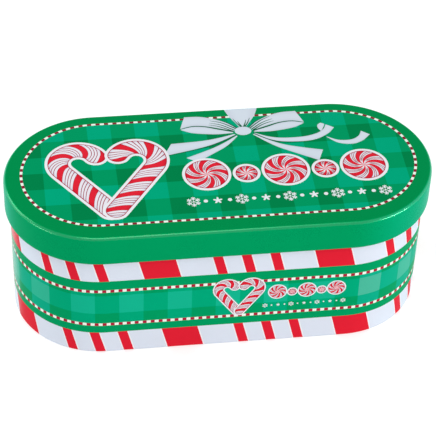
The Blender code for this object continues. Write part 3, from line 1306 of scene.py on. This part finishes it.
@dataclass
class WallShell:
    """Wall of the tin, one sheet from its hooked foot to its curled rim."""

    fold_steps: int = 12
    foot_steps: int = 12
    curl_steps: int = 26
    ramp: float = 0.15 * MM

    @property
    def seam_low(self) -> float:
        """Height at which the side seam starts."""
        return SIZES.plate_top + SIZES.side_seam_end_gap

    @property
    def seam_high(self) -> float:
        """Height at which the side seam ends."""
        return SIZES.rim_top - 2 * SIZES.rim_curl_radius - SIZES.side_seam_end_gap

    def profile(self) -> SheetProfile:
        """Draw the wall's sheet from its hook, out, up and over to the curled rim.

        Returns:
            The sheet's middle line.
        """
        start = SIZES.plate_fold_reach - SIZES.hook_tip_gap
        line = SheetProfile(start, SIZES.sheet / 2 + 2 * SIZES.leaf_pitch, 180)
        line.run(SIZES.hook_length)
        line.bend(SIZES.leaf_pitch, 180, self.fold_steps)
        line.run(SIZES.body_reach - SIZES.foot_radius - SIZES.wall_fold_reach)
        line.bend(SIZES.foot_radius - SIZES.sheet / 2, 90, self.foot_steps)
        low, high = SIZES.foot_radius, SIZES.rim_top - SIZES.rim_curl_radius
        edges = [self.seam_low, self.seam_low + self.ramp, self.seam_high - self.ramp]
        levels = np.array(edges + [self.seam_high, high])
        line.run(high - low, tuple((levels - low) / (high - low)))
        line.bend(SIZES.rim_curl_radius - SIZES.sheet / 2, SIZES.curl_turn, self.curl_steps)
        return line

    def press_side_seam(self, points: np.ndarray, inner_rows: int) -> None:
        """Press the side seam into the back: a rib inside and a fine groove outside.

        Both fade out with the distance from the back's middle and at the seam's ends.

        Args:
            points: The wall's grid, which is changed.
            inner_rows: How many of its rows are on the inner face.
        """
        along = PLAN.along(SIZES.body_reach)
        away = along.max() - np.abs(along)
        half = SIZES.side_seam_width / 2
        rib = np.clip((half + self.ramp - away) / self.ramp, 0, 1)
        groove = np.clip(1 - away / (SIZES.groove_width / 2), 0, 1)
        height = points[:, :, 2]
        rise = np.clip((height - self.seam_low) / self.ramp, 0, 1)
        fall = np.clip((self.seam_high - height) / self.ramp, 0, 1)
        window = rise * fall
        back = points[0, :, 1] > 0
        inner, outer = slice(0, inner_rows), slice(inner_rows, None)
        depth = SIZES.side_seam_height * rib * back
        points[inner, :, 1] -= depth[None, :] * window[inner]
        depth = SIZES.groove_depth * groove * back
        points[outer, :, 1] -= depth[None, :] * window[outer]

    def build(self, printed: Material, bare: Material) -> bpy.types.Object:
        """Build the wall.

        Args:
            printed: Finish of its outer face.
            bare: Finish of its inner face.

        Returns:
            The wall as one closed shell.
        """
        inner, outer = self.profile().faces()
        section = np.concatenate([inner, outer[::-1], inner[:1]])
        points = PLAN.carry(section)
        self.press_side_seam(points, len(inner))
        along = PLAN.along(SIZES.body_reach)
        place = np.stack(np.broadcast_arrays(along[None, :], section[:, 1:]), axis=2)
        patch = Patch(points, place, np.zeros(points.shape[:2]), wraps=True)
        order = np.arange(len(section) - 1)
        strips = (order < len(inner)) | (order == len(section) - 2)
        finish = np.repeat(strips.astype(int), points.shape[1] - 1)
        shell = make_object("wall_shell", [patch], [printed, bare], finish, True)
        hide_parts("body_wall")
        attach(shell, "tin_body")
        return shell


# Ornaments of the print


@dataclass(frozen=True)
class PrintPlane:
    """A flat printed face, with its own directions across and up."""

    origin: tuple[float, float, float]
    across: tuple[float, float, float]
    up: tuple[float, float, float]
    outward: tuple[float, float, float]
    body: str
    slot: str

    def lift(self, flat: np.ndarray, height: float) -> np.ndarray:
        """Put flat points on the face, raised by a height.

        Args:
            flat: Places across and up.
            height: Height above the sheet.

        Returns:
            Places in the tin's frame.
        """
        across, up, outward = (np.array(v) for v in (self.across, self.up, self.outward))
        raised = np.array(self.origin) + outward * height
        return raised + flat[..., :1] * across + flat[..., 1:] * up


LID_TOP = PrintPlane((0, 0, SIZES.height), (1, 0, 0), (0, 1, 0), (0, 0, 1), "lid", "printed_lid")
WALL_FRONT = PrintPlane(
    (0, -SIZES.body_reach, 0), (1, 0, 0), (0, 0, 1), (0, -1, 0), "tin_body", "printed_wall"
)


class Layer(Enum):
    """Heights of the layers of ink above the sheet, in metres."""

    RIBBON = 0.05 * MM
    LINE = 0.08 * MM
    CANDY = 0.11 * MM
    OVER = 0.14 * MM


class Motif(Enum):
    """Small white ornaments, with their size as a share of a snowflake's."""

    SNOWFLAKE = 1.0
    STAR = 0.62
    DOT = 0.28


RIBBON_STEPS = 40
RIBBON_ROWS = 7
LINE_STEPS = 24
PETAL_STEPS = 9
FILL_RINGS = 2
DOT_STEPS = 25
STAR_STEPS = 81
STAR_POINTS = 5
STAR_HEART = 0.34
STAR_SHARPNESS = 1.7


def smooth_line(knots: Knots, steps: int) -> np.ndarray:
    """Draw a smooth line through knots.

    Each stretch blends the four knots around it by the usual Catmull-Rom cubic, with the
    end knots carried on by their own differences.

    Args:
        knots: Places in millimetres.
        steps: How many points the line has.

    Returns:
        Places in metres.
    """
    given = np.array(knots, float) * MM
    ends = [2 * given[0] - given[1]], [2 * given[-1] - given[-2]]
    padded = np.concatenate([ends[0], given, ends[1]])
    share = np.linspace(0, len(given) - 1, steps)
    first = np.minimum(share.astype(int), len(given) - 2)
    part = (share - first)[:, None]
    before, start, stop, after = (padded[first + order] for order in range(4))
    cubic = 3 * (start - stop) + after - before
    square = 2 * before - 5 * start + 4 * stop - after
    return start + part / 2 * (stop - before + part * (square + part * cubic))


def flat_patch(
    flat: np.ndarray,
    place: np.ndarray | None = None,
    inset: np.ndarray | None = None,
    wraps: bool = False,
) -> Patch:
    """Make a patch of flat points whose faces look outwards.

    The sum of the cells' cross products tells which way they look, and a grid that looks
    inwards is turned over.

    Args:
        flat: Places across and up.
        place: Print coordinates, or None where the finish reads none.
        inset: Distance in from the edge, or None where the finish has no rim.
        wraps: Whether the last column repeats the first.

    Returns:
        The patch, still flat.
    """
    place = np.zeros_like(flat) if place is None else place
    inset = np.ones(flat.shape[:2]) if inset is None else inset
    along = np.diff(flat, axis=1)[:-1]
    down = np.diff(flat, axis=0)[:, :-1]
    turn = along[..., 0] * down[..., 1] - along[..., 1] * down[..., 0]
    if turn.sum() < 0:
        flat, place, inset = flat[::-1], place[::-1], inset[::-1]
    return Patch(flat, place, inset, wraps)


def ribbon_patch(upper: Knots, lower: Knots) -> Patch:
    """Stretch a strip of ribbon straight across between two smooth edges.

    Args:
        upper: Knots of one edge, in millimetres.
        lower: Knots of the other edge.

    Returns:
        The strip.
    """
    share = np.linspace(0, 1, RIBBON_ROWS)[:, None, None]
    edges = [smooth_line(knots, RIBBON_STEPS) for knots in (upper, lower)]
    along, across = np.broadcast_arrays(np.linspace(0, 1, RIBBON_STEPS), share[:, :, 0])
    flat = edges[0] * (1 - share) + edges[1] * share
    return flat_patch(flat, np.stack([along, across], axis=2))


def line_patch(knots: Knots, width: float) -> Patch:
    """Draw a fine line that starts as a point and widens to its end.

    Each point stands off the smooth line along its normal, by half the width times the
    root of the share of the line that lies behind it.

    Args:
        knots: Places in millimetres.
        width: Width at the end, in metres.

    Returns:
        The line as a thin strip.
    """
    line = smooth_line(knots, LINE_STEPS)
    slope = np.gradient(line, axis=0)
    slope /= np.linalg.norm(slope, axis=1, keepdims=True)
    normal = np.stack([-slope[:, 1], slope[:, 0]], axis=1)
    widening = np.sqrt(np.linspace(0, 1, len(line))) * width
    side = np.array([-0.5, 0.5])[:, None, None]
    flat = line[None] + normal[None] * side * widening[None, :, None]
    return flat_patch(flat)


def petal_patch(
    centre: np.ndarray, turn: float, start: float, stop: float, half_width: float
) -> Patch:
    """Draw a slim pointed petal that lies on a ray from a centre.

    Its half width along the ray follows half a sine wave.

    Args:
        centre: Place of the centre in metres.
        turn: Direction of the ray in radians.
        start: Distance from the centre at which the petal starts.
        stop: Distance at which it ends.
        half_width: Half its width at the middle.

    Returns:
        The petal.
    """
    share = np.linspace(0, 1, PETAL_STEPS)
    away = start + (stop - start) * share
    spread = half_width * np.sin(math.pi * share)
    side = np.array([-1.0, 0.0, 1.0])[:, None] * spread[None, :]
    flat = centre + away[None, :, None] * facing(turn) + side[:, :, None] * leftward(turn)
    return flat_patch(flat)


def polar_patch(centre: Spot, outline: np.ndarray, rings: int, squash: float = 1.0) -> Patch:
    """Fill an outline that is given as a radius for each direction.

    A point stands at a share of the outline's radius in its direction from the centre.

    Args:
        centre: Place of the middle in metres.
        outline: Radii of directions that go once round, the last one as the first.
        rings: How many rings fill it.
        squash: Height of the figure as a share of its width.

    Returns:
        The filled outline, with print coordinates measured from its centre.
    """
    angle = np.linspace(0, 2 * math.pi, len(outline))
    share = np.linspace(0, 1, rings + 1)[:, None]
    radius = share * outline[None, :]
    local = radius[:, :, None] * facing(angle) * (1.0, squash)
    return flat_patch(local + np.array(centre), local, outline[None, :] - radius, True)


def star_patch(centre: Spot, radius: float) -> Patch:
    """Draw a star, whose radius swells at each point by a power of a cosine.

    Args:
        centre: Place of its middle in metres.
        radius: Reach of its points.

    Returns:
        The filled star.
    """
    angle = np.linspace(0, 2 * math.pi, STAR_STEPS)
    wave = np.abs(np.cos(STAR_POINTS / 2 * (angle - math.pi / 2))) ** STAR_SHARPNESS
    return polar_patch(centre, radius * (STAR_HEART + (1 - STAR_HEART) * wave), FILL_RINGS)


def dot_patch(centre: Spot, radius: float) -> Patch:
    """Draw a round dot."""
    return polar_patch(centre, np.full(DOT_STEPS, radius), FILL_RINGS)


@dataclass(frozen=True)
class Snowflake:
    """Snowflake of like arms round a small dot, each arm with pairs of twigs.

    The sizes are shares of the arms' reach. A pair of twigs is given by its distance from
    the middle and by its length.
    """

    arms: int = 6
    dot: float = 0.13
    arm_start: float = 0.17
    arm_half_width: float = 0.10
    twigs: tuple[Spot, ...] = ((0.40, 0.30), (0.66, 0.24))
    twig_turn: float = math.pi / 3.4
    twig_start: float = 0.09
    twig_half_width: float = 0.07

    def patches(self, centre: Spot, radius: float) -> list[Patch]:
        """Draw the snowflake.

        Args:
            centre: Place of its middle in metres.
            radius: Reach of its arms.

        Returns:
            Its dot and its petals.
        """
        middle = np.array(centre)
        drawn = [dot_patch(centre, self.dot * radius)]
        for turn in math.pi / 2 + np.arange(self.arms) * 2 * math.pi / self.arms:
            petals = [(middle, turn, self.arm_start, 1.0, self.arm_half_width)]
            for reach, length in self.twigs:
                joint = middle + reach * radius * facing(turn)
                stop = self.twig_start + length
                for way in (turn - self.twig_turn, turn + self.twig_turn):
                    petals.append((joint, way, self.twig_start, stop, self.twig_half_width))
            for place, way, *sizes in petals:
                drawn.append(petal_patch(place, way, *(size * radius for size in sizes)))
        return drawn


@dataclass(frozen=True)
class CandyCane:
    """Candy cane as a stroke of one width: a straight stick and a round hook."""

    start: Spot
    heading: float
    stick: float
    hook_radius: float
    hook_turn: float
    half_width: float
    cap_steps: int = 9
    line_steps: int = 60
    rows: int = 13

    def patch(self) -> Patch:
        """Draw the stroke with round ends.

        The middle line runs straight and then round the hook's centre. Past its ends the
        stroke narrows as a half circle does, and the inset is the half width less the
        distance from the middle line.

        Returns:
            The cane, with print coordinates along and across it.
        """
        quarter = np.linspace(0, math.pi / 2, self.cap_steps)
        cap = np.cos(quarter)[:-1] * self.half_width
        length = self.stick + abs(math.radians(self.hook_turn)) * self.hook_radius
        middle = np.linspace(0, length, self.line_steps)
        on_line = np.concatenate([0 * cap, middle, 0 * cap + length])
        past = np.concatenate([-cap, 0 * middle, cap[::-1]])
        side = math.copysign(1.0, self.hook_turn)
        start = math.radians(self.heading)
        heading = start + np.maximum(on_line - self.stick, 0) / self.hook_radius * side
        left = leftward(heading)
        run = np.minimum(on_line, self.stick)[:, None]
        swing = (leftward(start) - left) * self.hook_radius * side
        line = np.array(self.start) + facing(start) * run + swing
        width = np.sqrt(np.maximum(self.half_width**2 - past**2, 0))
        across = np.linspace(-1, 1, self.rows)[:, None] * width[None, :]
        ends = line + facing(heading) * past[:, None]
        flat = ends[None] + left[None] * across[:, :, None]
        away = np.sqrt(across**2 + past[None, :] ** 2)
        along = np.broadcast_to((on_line + past)[None, :], across.shape)
        place = np.stack([along, across], axis=2)
        return flat_patch(flat, place, self.half_width - away)


@dataclass
class Ornaments:
    """Ornaments of one printed face, as thin layers of ink that lie on the sheet."""

    plane: PrintPlane
    prefix: str
    sunk: float = 0.02 * MM
    made: list[bpy.types.Object] = field(default_factory=list)

    def lay(
        self, name: str, patches: Sequence[Patch], layer: Layer, finish: Material
    ) -> bpy.types.Object:
        """Lay patches on the face as one piece of ink.

        Args:
            name: What they show.
            patches: Flat patches.
            layer: How high they lie.
            finish: Their material.

        Returns:
            The piece.
        """
        for patch in patches:
            patch.points = self.plane.lift(patch.points, layer.value)
        piece = make_object(f"{self.prefix}_{name}", patches, [finish])
        thickness = piece.modifiers.new("ink", "SOLIDIFY")
        thickness.thickness = layer.value + self.sunk
        thickness.offset = -1.0
        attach(piece, self.plane.body)
        self.made.append(piece)
        return piece


@dataclass(frozen=True)
class RibbonBow:
    """Bow of pale ribbon near the back of the lid, with places in millimetres."""

    middle: float = 15.86
    height: float = 27.71
    mirror: float = 16.06
    fold_width: float = 0.7
    gap_width: float = 0.8
    knot_radius: float = 4.3
    knot_squash: float = 0.77
    knot_print: float = 9.5
    knot_steps: int = 65
    knot_rings: int = 4

    def mirrored(self, knots: Knots) -> Knots:
        """Turn knots over about the middle of the loops."""
        return tuple((2 * self.mirror - x, y) for x, y in knots)

    def loops(self) -> list[Patch]:
        """Draw both loops, each a front band and the inside that shows below it.

        Returns:
            The bands and the insides.
        """
        band = (
            ((-13.0, 41.5), (-5.0, 41.1), (2.1, 38.6), (8.6, 34.7), (12.9, 30.3)),
            ((-16.1, 32.2), (-10.0, 33.9), (-3.5, 33.3), (3.7, 30.9), (10.9, 28.0)),
        )
        inside = (
            ((-16.0, 31.6), (-9.9, 33.2), (-3.5, 32.5), (3.2, 29.9), (10.6, 27.2)),
            ((-15.7, 31.2), (-10.4, 28.4), (-2.1, 26.7), (3.6, 26.2), (10.6, 26.6)),
        )
        patches = []
        for upper, lower in (band, inside):
            patches.append(ribbon_patch(upper, lower))
            patches.append(ribbon_patch(self.mirrored(upper), self.mirrored(lower)))
        return patches

    def tails(self) -> list[Patch]:
        """Draw the strip to the back edge, the tails and their curled ends.

        Returns:
            The strips.
        """
        strips = (
            (
                ((8.4, 45.25), (10.3, 39.7), (14.3, 31.2)),
                ((25.4, 45.25), (23.0, 39.2), (17.9, 31.2)),
            ),
            (
                ((11.0, 25.6), (2.1, 23.1), (-7.1, 21.5), (-22.1, 20.6)),
                ((11.6, 24.9), (2.9, 20.1), (-7.1, 16.3), (-26.8, 11.4)),
            ),
            (
                ((12.0, 24.3), (5.0, 19.2), (-2.9, 14.6), (-15.6, 8.9)),
                ((12.4, 23.7), (6.4, 16.9), (0.0, 12.2), (-10.2, 5.4)),
            ),
            (
                ((21.4, 25.7), (28.6, 22.0), (35.7, 20.4), (45.7, 20.4), (53.0, 22.3),
                 (57.2, 25.4), (59.1, 29.1)),
                ((21.2, 25.1), (28.6, 19.9), (35.7, 17.4), (45.7, 16.8), (53.0, 18.1),
                 (59.3, 21.9), (63.0, 26.3)),
            ),
            (
                ((56.4, 30.6), (54.8, 29.1), (54.6, 26.6), (55.7, 24.2)),
                ((56.9, 30.5), (58.4, 29.4), (57.4, 26.7), (56.1, 24.1)),
            ),
            (
                ((57.9, 19.4), (63.6, 16.1), (70.0, 15.8), (74.3, 18.3), (76.4, 22.2)),
                ((58.0, 18.8), (63.2, 13.9), (70.0, 12.4), (75.7, 14.4), (80.4, 19.0)),
            ),
            (
                ((21.0, 24.9), (28.6, 19.0), (35.7, 14.9), (45.0, 11.7), (54.3, 9.1)),
                ((20.6, 24.3), (27.1, 17.6), (32.1, 13.2), (38.6, 8.9), (51.0, 1.1)),
            ),
        )
        return [ribbon_patch(upper, lower) for upper, lower in strips]

    def folds(self) -> list[Patch]:
        """Draw the fine dark lines of folds and gaps, which widen towards the knot.

        Returns:
            The lines as thin strips.
        """
        lines = (
            ((-0.4, 37.4), (5.7, 35.1), (12.4, 29.8)),
            ((-0.8, 35.6), (5.0, 33.5), (11.4, 28.8)),
            ((-1.4, 34.2), (4.3, 32.1), (10.6, 28.0)),
            ((31.4, 38.5), (25.7, 35.1), (19.6, 29.6)),
            ((32.4, 36.3), (26.4, 33.5), (20.5, 28.8)),
            ((33.0, 34.6), (27.1, 32.3), (21.2, 28.1)),
            ((11.8, 38.1), (13.5, 34.2), (15.2, 31.2)),
            ((14.0, 36.0), (14.8, 33.4), (15.8, 31.0)),
            ((18.6, 36.8), (17.7, 33.8), (16.6, 31.0)),
            ((20.7, 38.1), (19.1, 34.2), (17.3, 31.2)),
            ((3.4, 38.2), (8.7, 34.8), (13.0, 30.4)),
            ((28.7, 38.2), (23.4, 34.8), (19.1, 30.4)),
            ((-26.2, 11.2), (-7.0, 15.8), (2.9, 19.8), (11.7, 24.7)),
            ((45.5, 16.4), (35.7, 17.0), (28.6, 19.5), (21.2, 25.0)),
        )
        gap = ((-15.8, 31.9), (-9.9, 33.55), (-3.5, 32.9), (3.45, 30.4), (10.8, 27.6))
        gaps = (gap, self.mirrored(gap))
        drawn = [line_patch(line, self.fold_width * MM) for line in lines]
        return drawn + [line_patch(line, self.gap_width * MM) for line in gaps]

    def knot(self) -> Patch:
        """Draw the knot, a round a little flattened.

        Returns:
            The knot, with the ribbon's coordinates.
        """
        outline = np.full(self.knot_steps, self.knot_radius * MM)
        centre = (self.middle * MM, self.height * MM)
        patch = polar_patch(centre, outline, self.knot_rings, self.knot_squash)
        patch.print_place = 0.5 + patch.print_place / (self.knot_print * MM)
        return patch


@dataclass(frozen=True)
class CandyGroup:
    """Heart of two candy canes, a run of peppermints and a row of small white ornaments."""

    heart_middle: Spot
    scale: float
    half_width: float
    large_mints: tuple[Spot, ...]
    small_mints: tuple[Spot, ...]
    large_radius: float
    small_radius: float
    row_start: float
    row_end: float
    row_height: float
    row_radius: float
    row_count: int
    heart_drop: float = 29.0 * MM
    foot_shift: float = 1.2 * MM
    lean: float = 35.0
    stick: float = 38.0 * MM
    hook_radius: float = 10.2 * MM
    hook_turn: float = 188.0
    mint_steps: int = 97
    mint_rings: int = 10

    def canes(self) -> list[CandyCane]:
        """Place the left and the right cane, whose sticks meet below and hooks above.

        Returns:
            The left cane, then the right one.
        """
        across, up = self.heart_middle
        foot = up - self.heart_drop * self.scale
        return [
            CandyCane(
                start=(across + side * self.foot_shift * self.scale, foot),
                heading=90 - side * self.lean,
                stick=self.stick * self.scale,
                hook_radius=self.hook_radius * self.scale,
                hook_turn=side * self.hook_turn,
                half_width=self.half_width,
            )
            for side in (-1, 1)
        ]

    def mints(self) -> list[Patch]:
        """Draw the peppermints, large and small.

        Returns:
            The large ones, then the small ones.
        """
        kinds = ((self.large_mints, self.large_radius), (self.small_mints, self.small_radius))
        return [
            polar_patch(place, np.full(self.mint_steps, radius), self.mint_rings)
            for places, radius in kinds
            for place in places
        ]

    def row(self) -> list[Patch]:
        """Draw the row of snowflakes, dots and stars by turns.

        Returns:
            The row's parts, from the left.
        """
        order = (Motif.SNOWFLAKE, Motif.DOT, Motif.STAR, Motif.DOT)
        patches: list[Patch] = []
        for number, place in enumerate(np.linspace(self.row_start, self.row_end, self.row_count)):
            motif = order[number % len(order)]
            centre = (float(place), self.row_height)
            radius = self.row_radius * motif.value
            if motif is Motif.SNOWFLAKE:
                patches.extend(Snowflake().patches(centre, radius))
            elif motif is Motif.STAR:
                patches.append(star_patch(centre, radius))
            else:
                patches.append(dot_patch(centre, radius))
        return patches


LID_CANDY = CandyGroup(
    heart_middle=(-55.5 * MM, 1.5 * MM),
    scale=1.0,
    half_width=6.6 * MM,
    large_mints=((-7.0 * MM, -4.5 * MM), (33.0 * MM, -4.5 * MM), (73.0 * MM, -4.5 * MM)),
    small_mints=((13.0 * MM, -5.5 * MM), (53.0 * MM, -5.5 * MM)),
    large_radius=12.3 * MM,
    small_radius=7.0 * MM,
    row_start=-16.0 * MM,
    row_end=80.0 * MM,
    row_height=-24.6 * MM,
    row_radius=3.8 * MM,
    row_count=17,
)
FRONT_CANDY = CandyGroup(
    heart_middle=(5.5 * MM, 35.0 * MM),
    scale=0.42,
    half_width=2.9 * MM,
    large_mints=((25.0 * MM, 34.6 * MM), (40.0 * MM, 34.6 * MM), (55.0 * MM, 34.6 * MM)),
    small_mints=((32.5 * MM, 34.0 * MM), (47.5 * MM, 34.0 * MM)),
    large_radius=4.9 * MM,
    small_radius=2.7 * MM,
    row_start=19.0 * MM,
    row_end=59.0 * MM,
    row_height=25.4 * MM,
    row_radius=1.5 * MM,
    row_count=13,
)


def lay_candy(
    ornaments: Ornaments,
    group: CandyGroup,
    stripe: Material,
    pinwheel: Material,
    white: Material,
) -> None:
    """Lay one group of candy ornaments on a face.

    Args:
        ornaments: The face's ornaments.
        group: What is laid.
        stripe: Finish of the canes.
        pinwheel: Finish of the peppermints.
        white: Finish of the small ornaments.
    """
    left, right = group.canes()
    ornaments.lay("cane_left", [left.patch()], Layer.CANDY, stripe)
    ornaments.lay("cane_right", [right.patch()], Layer.OVER, stripe)
    ornaments.lay("peppermints", group.mints(), Layer.CANDY, pinwheel)
    ornaments.lay("snow_row", group.row(), Layer.LINE, white)


# Room, light and camera


@dataclass(frozen=True)
class Lamp:
    """Soft lamp that looks at the tin from a direction given in degrees."""

    name: str
    azimuth: float
    elevation: float
    distance: float
    width: float
    height: float
    power: float

    def build(self) -> None:
        """Hang the lamp."""
        data = bpy.data.lights.new(self.name, "AREA")
        data.shape = "RECTANGLE"
        data.size = self.width
        data.size_y = self.height
        data.energy = self.power
        lamp = bpy.data.objects.new(self.name, data)
        turn, rise = math.radians(self.azimuth), math.radians(self.elevation)
        level = math.cos(rise)
        away = Vector((math.cos(turn) * level, math.sin(turn) * level, math.sin(rise)))
        lamp.location = Vector((0, 0, SIZES.height)) + away * self.distance
        lamp.rotation_euler = away.to_track_quat("Z", "Y").to_euler()
        bpy.context.scene.collection.objects.link(lamp)


@dataclass(frozen=True)
class Studio:
    """Pale floor, plain soft light and a camera at the photograph's angle."""

    sky: float = 0.58
    floor_half: float = 4.0
    floor_drop: float = 0.05 * MM
    floor_colour: Ink = (0.66, 0.66, 0.66, 1.0)
    floor_roughness: float = 0.9
    floor_glow: float = 0.52
    floor_near: float = 200.0 * MM
    floor_far: float = 700.0 * MM
    lamps: tuple[Lamp, ...] = (
        Lamp("top_lamp", -100.0, 65.0, 1.9, 0.9, 0.9, 9.0),
        Lamp("left_fill", 160.0, 28.0, 0.9, 0.5, 0.5, 2.2),
        Lamp("left_strip", -158.0, 4.0, 1.1, 0.50, 0.08, 1.6),
        Lamp("right_strip", -33.0, 5.0, 1.0, 0.55, 0.08, 4.6),
    )
    azimuth: float = -9.0557
    elevation: float = 41.799
    roll: float = 2.3832
    distance: float = 961.685 * MM
    aim_right: float = 0.3132 * MM
    aim_up: float = 4.6721 * MM
    focal_pixels: float = 1865.4435
    picture_pixels: float = 436.0
    sensor: float = 36.0
    clip_start: float = 50.0 * MM

    def seen_share(self, sheet: NodeSheet) -> Field:
        """Give one for rays from the camera or through gloss and glass."""
        seen = sheet.node("ShaderNodeLightPath", {}, "Is Camera Ray")
        return seen | seen.beside("Is Glossy Ray") | seen.beside("Is Transmission Ray")

    def build_world(self) -> None:
        """Fill the world with even white light."""
        world = bpy.data.worlds.new("studio")
        world.use_nodes = True
        bpy.context.scene.world = world
        sheet = NodeSheet(world.node_tree)
        strength = self.seen_share(sheet) * (1.0 - self.sky) + self.sky
        feeds = {"Color": (1.0, 1.0, 1.0, 1.0), "Strength": strength}
        sheet.fill(world.node_tree.nodes["Background"], feeds)

    def build_floor(self) -> None:
        """Lay the floor, which takes the tin's shadow and is whiter further off."""
        mesh = bpy.data.meshes.new("floor")
        far, low = self.floor_half, -self.floor_drop
        corners = [(-far, -far, low), (far, -far, low), (far, far, low), (-far, far, low)]
        mesh.from_pydata(corners, [], [(0, 1, 2, 3)])
        floor = bpy.data.objects.new("floor", mesh)
        bpy.context.scene.collection.objects.link(floor)
        material, sheet = NodeSheet.of_material("floor_paper")
        place = {0: sheet.object_place()}
        away = sheet.node("ShaderNodeVectorMath", place, "Value", operation="LENGTH")
        whiter = sheet.ramp(away, self.floor_near, self.floor_far)
        glow = whiter * (1.0 - self.floor_glow) + self.floor_glow
        sheet.shade(
            {
                "Base Color": self.floor_colour,
                "Roughness": self.floor_roughness,
                "Specular IOR Level": 0.0,
                "Emission Strength": 1.0,
                "Emission Color": self.seen_share(sheet) * glow,
            }
        )
        mesh.materials.append(material)
        floor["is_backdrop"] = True

    def build_camera(self) -> None:
        """Stand the camera where the photograph was taken from."""
        azimuth, elevation = math.radians(self.azimuth), math.radians(self.elevation)
        level = math.cos(elevation)
        back = Vector((math.sin(azimuth) * level, -math.cos(azimuth) * level, math.sin(elevation)))
        right = Vector((math.cos(azimuth), math.sin(azimuth), 0))
        up = back.cross(right)
        roll = math.radians(self.roll)
        turned_right = right * math.cos(roll) + up * math.sin(roll)
        turned_up = up * math.cos(roll) - right * math.sin(roll)
        aim = Vector((0, 0, SIZES.height / 2)) + right * self.aim_right + up * self.aim_up
        place = aim + back * self.distance
        data = bpy.data.cameras.new("camera")
        data.sensor_width = self.sensor
        data.lens = self.focal_pixels * self.sensor / self.picture_pixels
        data.clip_start = self.clip_start
        camera = bpy.data.objects.new("camera", data)
        turn = Matrix((turned_right, turned_up, back)).transposed().to_4x4()
        camera.matrix_world = Matrix.Translation(place) @ turn
        bpy.context.scene.collection.objects.link(camera)
        bpy.context.scene.camera = camera

    def build(self) -> None:
        """Build the room, its lamps and the camera."""
        bpy.context.scene.view_settings.view_transform = "Standard"
        self.build_world()
        self.build_floor()
        for lamp in self.lamps:
            lamp.build()
        self.build_camera()


def corners_of_box() -> list[list[float]]:
    """Give the lowest and highest corner of what shows, as plain lists."""
    bpy.context.view_layer.update()
    return [[float(part) for part in corner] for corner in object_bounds()]


def main() -> None:
    """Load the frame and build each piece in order."""
    logging.basicConfig(level=logging.INFO, format="%(name)s: %(message)s")
    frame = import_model()
    boxes = {"cad": corners_of_box()}
    Studio().build()
    effects = Effects()
    bare = BareTinplate().build(effects)
    lid = LidShell().build(LidPrint().build(effects), bare)
    LOG.info("%s: %d faces", lid.name, len(lid.data.polygons))
    wall = WallShell().build(WallPrint().build(effects), bare)
    LOG.info("%s: %d faces", wall.name, len(wall.data.polygons))
    plate = frame["nodes"]["bottom_plate"]
    for slot in plate.material_slots:
        slot.material = bare
    LOG.info("%s: keeps its form", plate.name)
    bow = RibbonBow()
    ribbon = RibbonPrint().build(effects)
    fold_line = PlainPrint("fold_line_print", INKS.fold_green).build(effects)
    rim = CandyRim()
    stripe = CandyPrint("candy_stripe_print", pitch=12.4 * MM, rim=rim).build(effects)
    pinwheel = PinwheelPrint("peppermint_print", LID_CANDY.large_radius, rim).build(effects)
    white = PlainPrint("white_print", INKS.edge_white).build(effects)
    on_lid = Ornaments(LID_TOP, "lid")
    on_lid.lay("ribbon", bow.loops() + bow.tails(), Layer.RIBBON, ribbon)
    on_lid.lay("ribbon_folds", bow.folds(), Layer.LINE, fold_line)
    on_lid.lay("ribbon_knot", [bow.knot()], Layer.CANDY, ribbon)
    lay_candy(on_lid, LID_CANDY, stripe, pinwheel, white)
    small_rim = CandyRim(white=0.65 * MM, line=0.18 * MM, shade_depth=1.4 * MM)
    small_stripe = CandyPrint(
        "small_candy_stripe_print",
        pitch=5.4 * MM,
        rim=small_rim,
        wide=0.40,
        lines=(0.57, 0.70, 0.83),
        half_line=0.026,
    ).build(effects)
    small_pinwheel = PinwheelPrint(
        "small_peppermint_print",
        FRONT_CANDY.large_radius,
        small_rim,
        wide=0.5,
        lines=(0.75,),
        line_width=0.2 * MM,
    ).build(effects)
    on_front = Ornaments(WALL_FRONT, "front")
    lay_candy(on_front, FRONT_CANDY, small_stripe, small_pinwheel, white)
    for piece in on_lid.made + on_front.made:
        LOG.info("%s: %d faces", piece.name, len(piece.data.polygons))
    boxes["visual"] = corners_of_box()


if __name__ == "__main__":
    main()
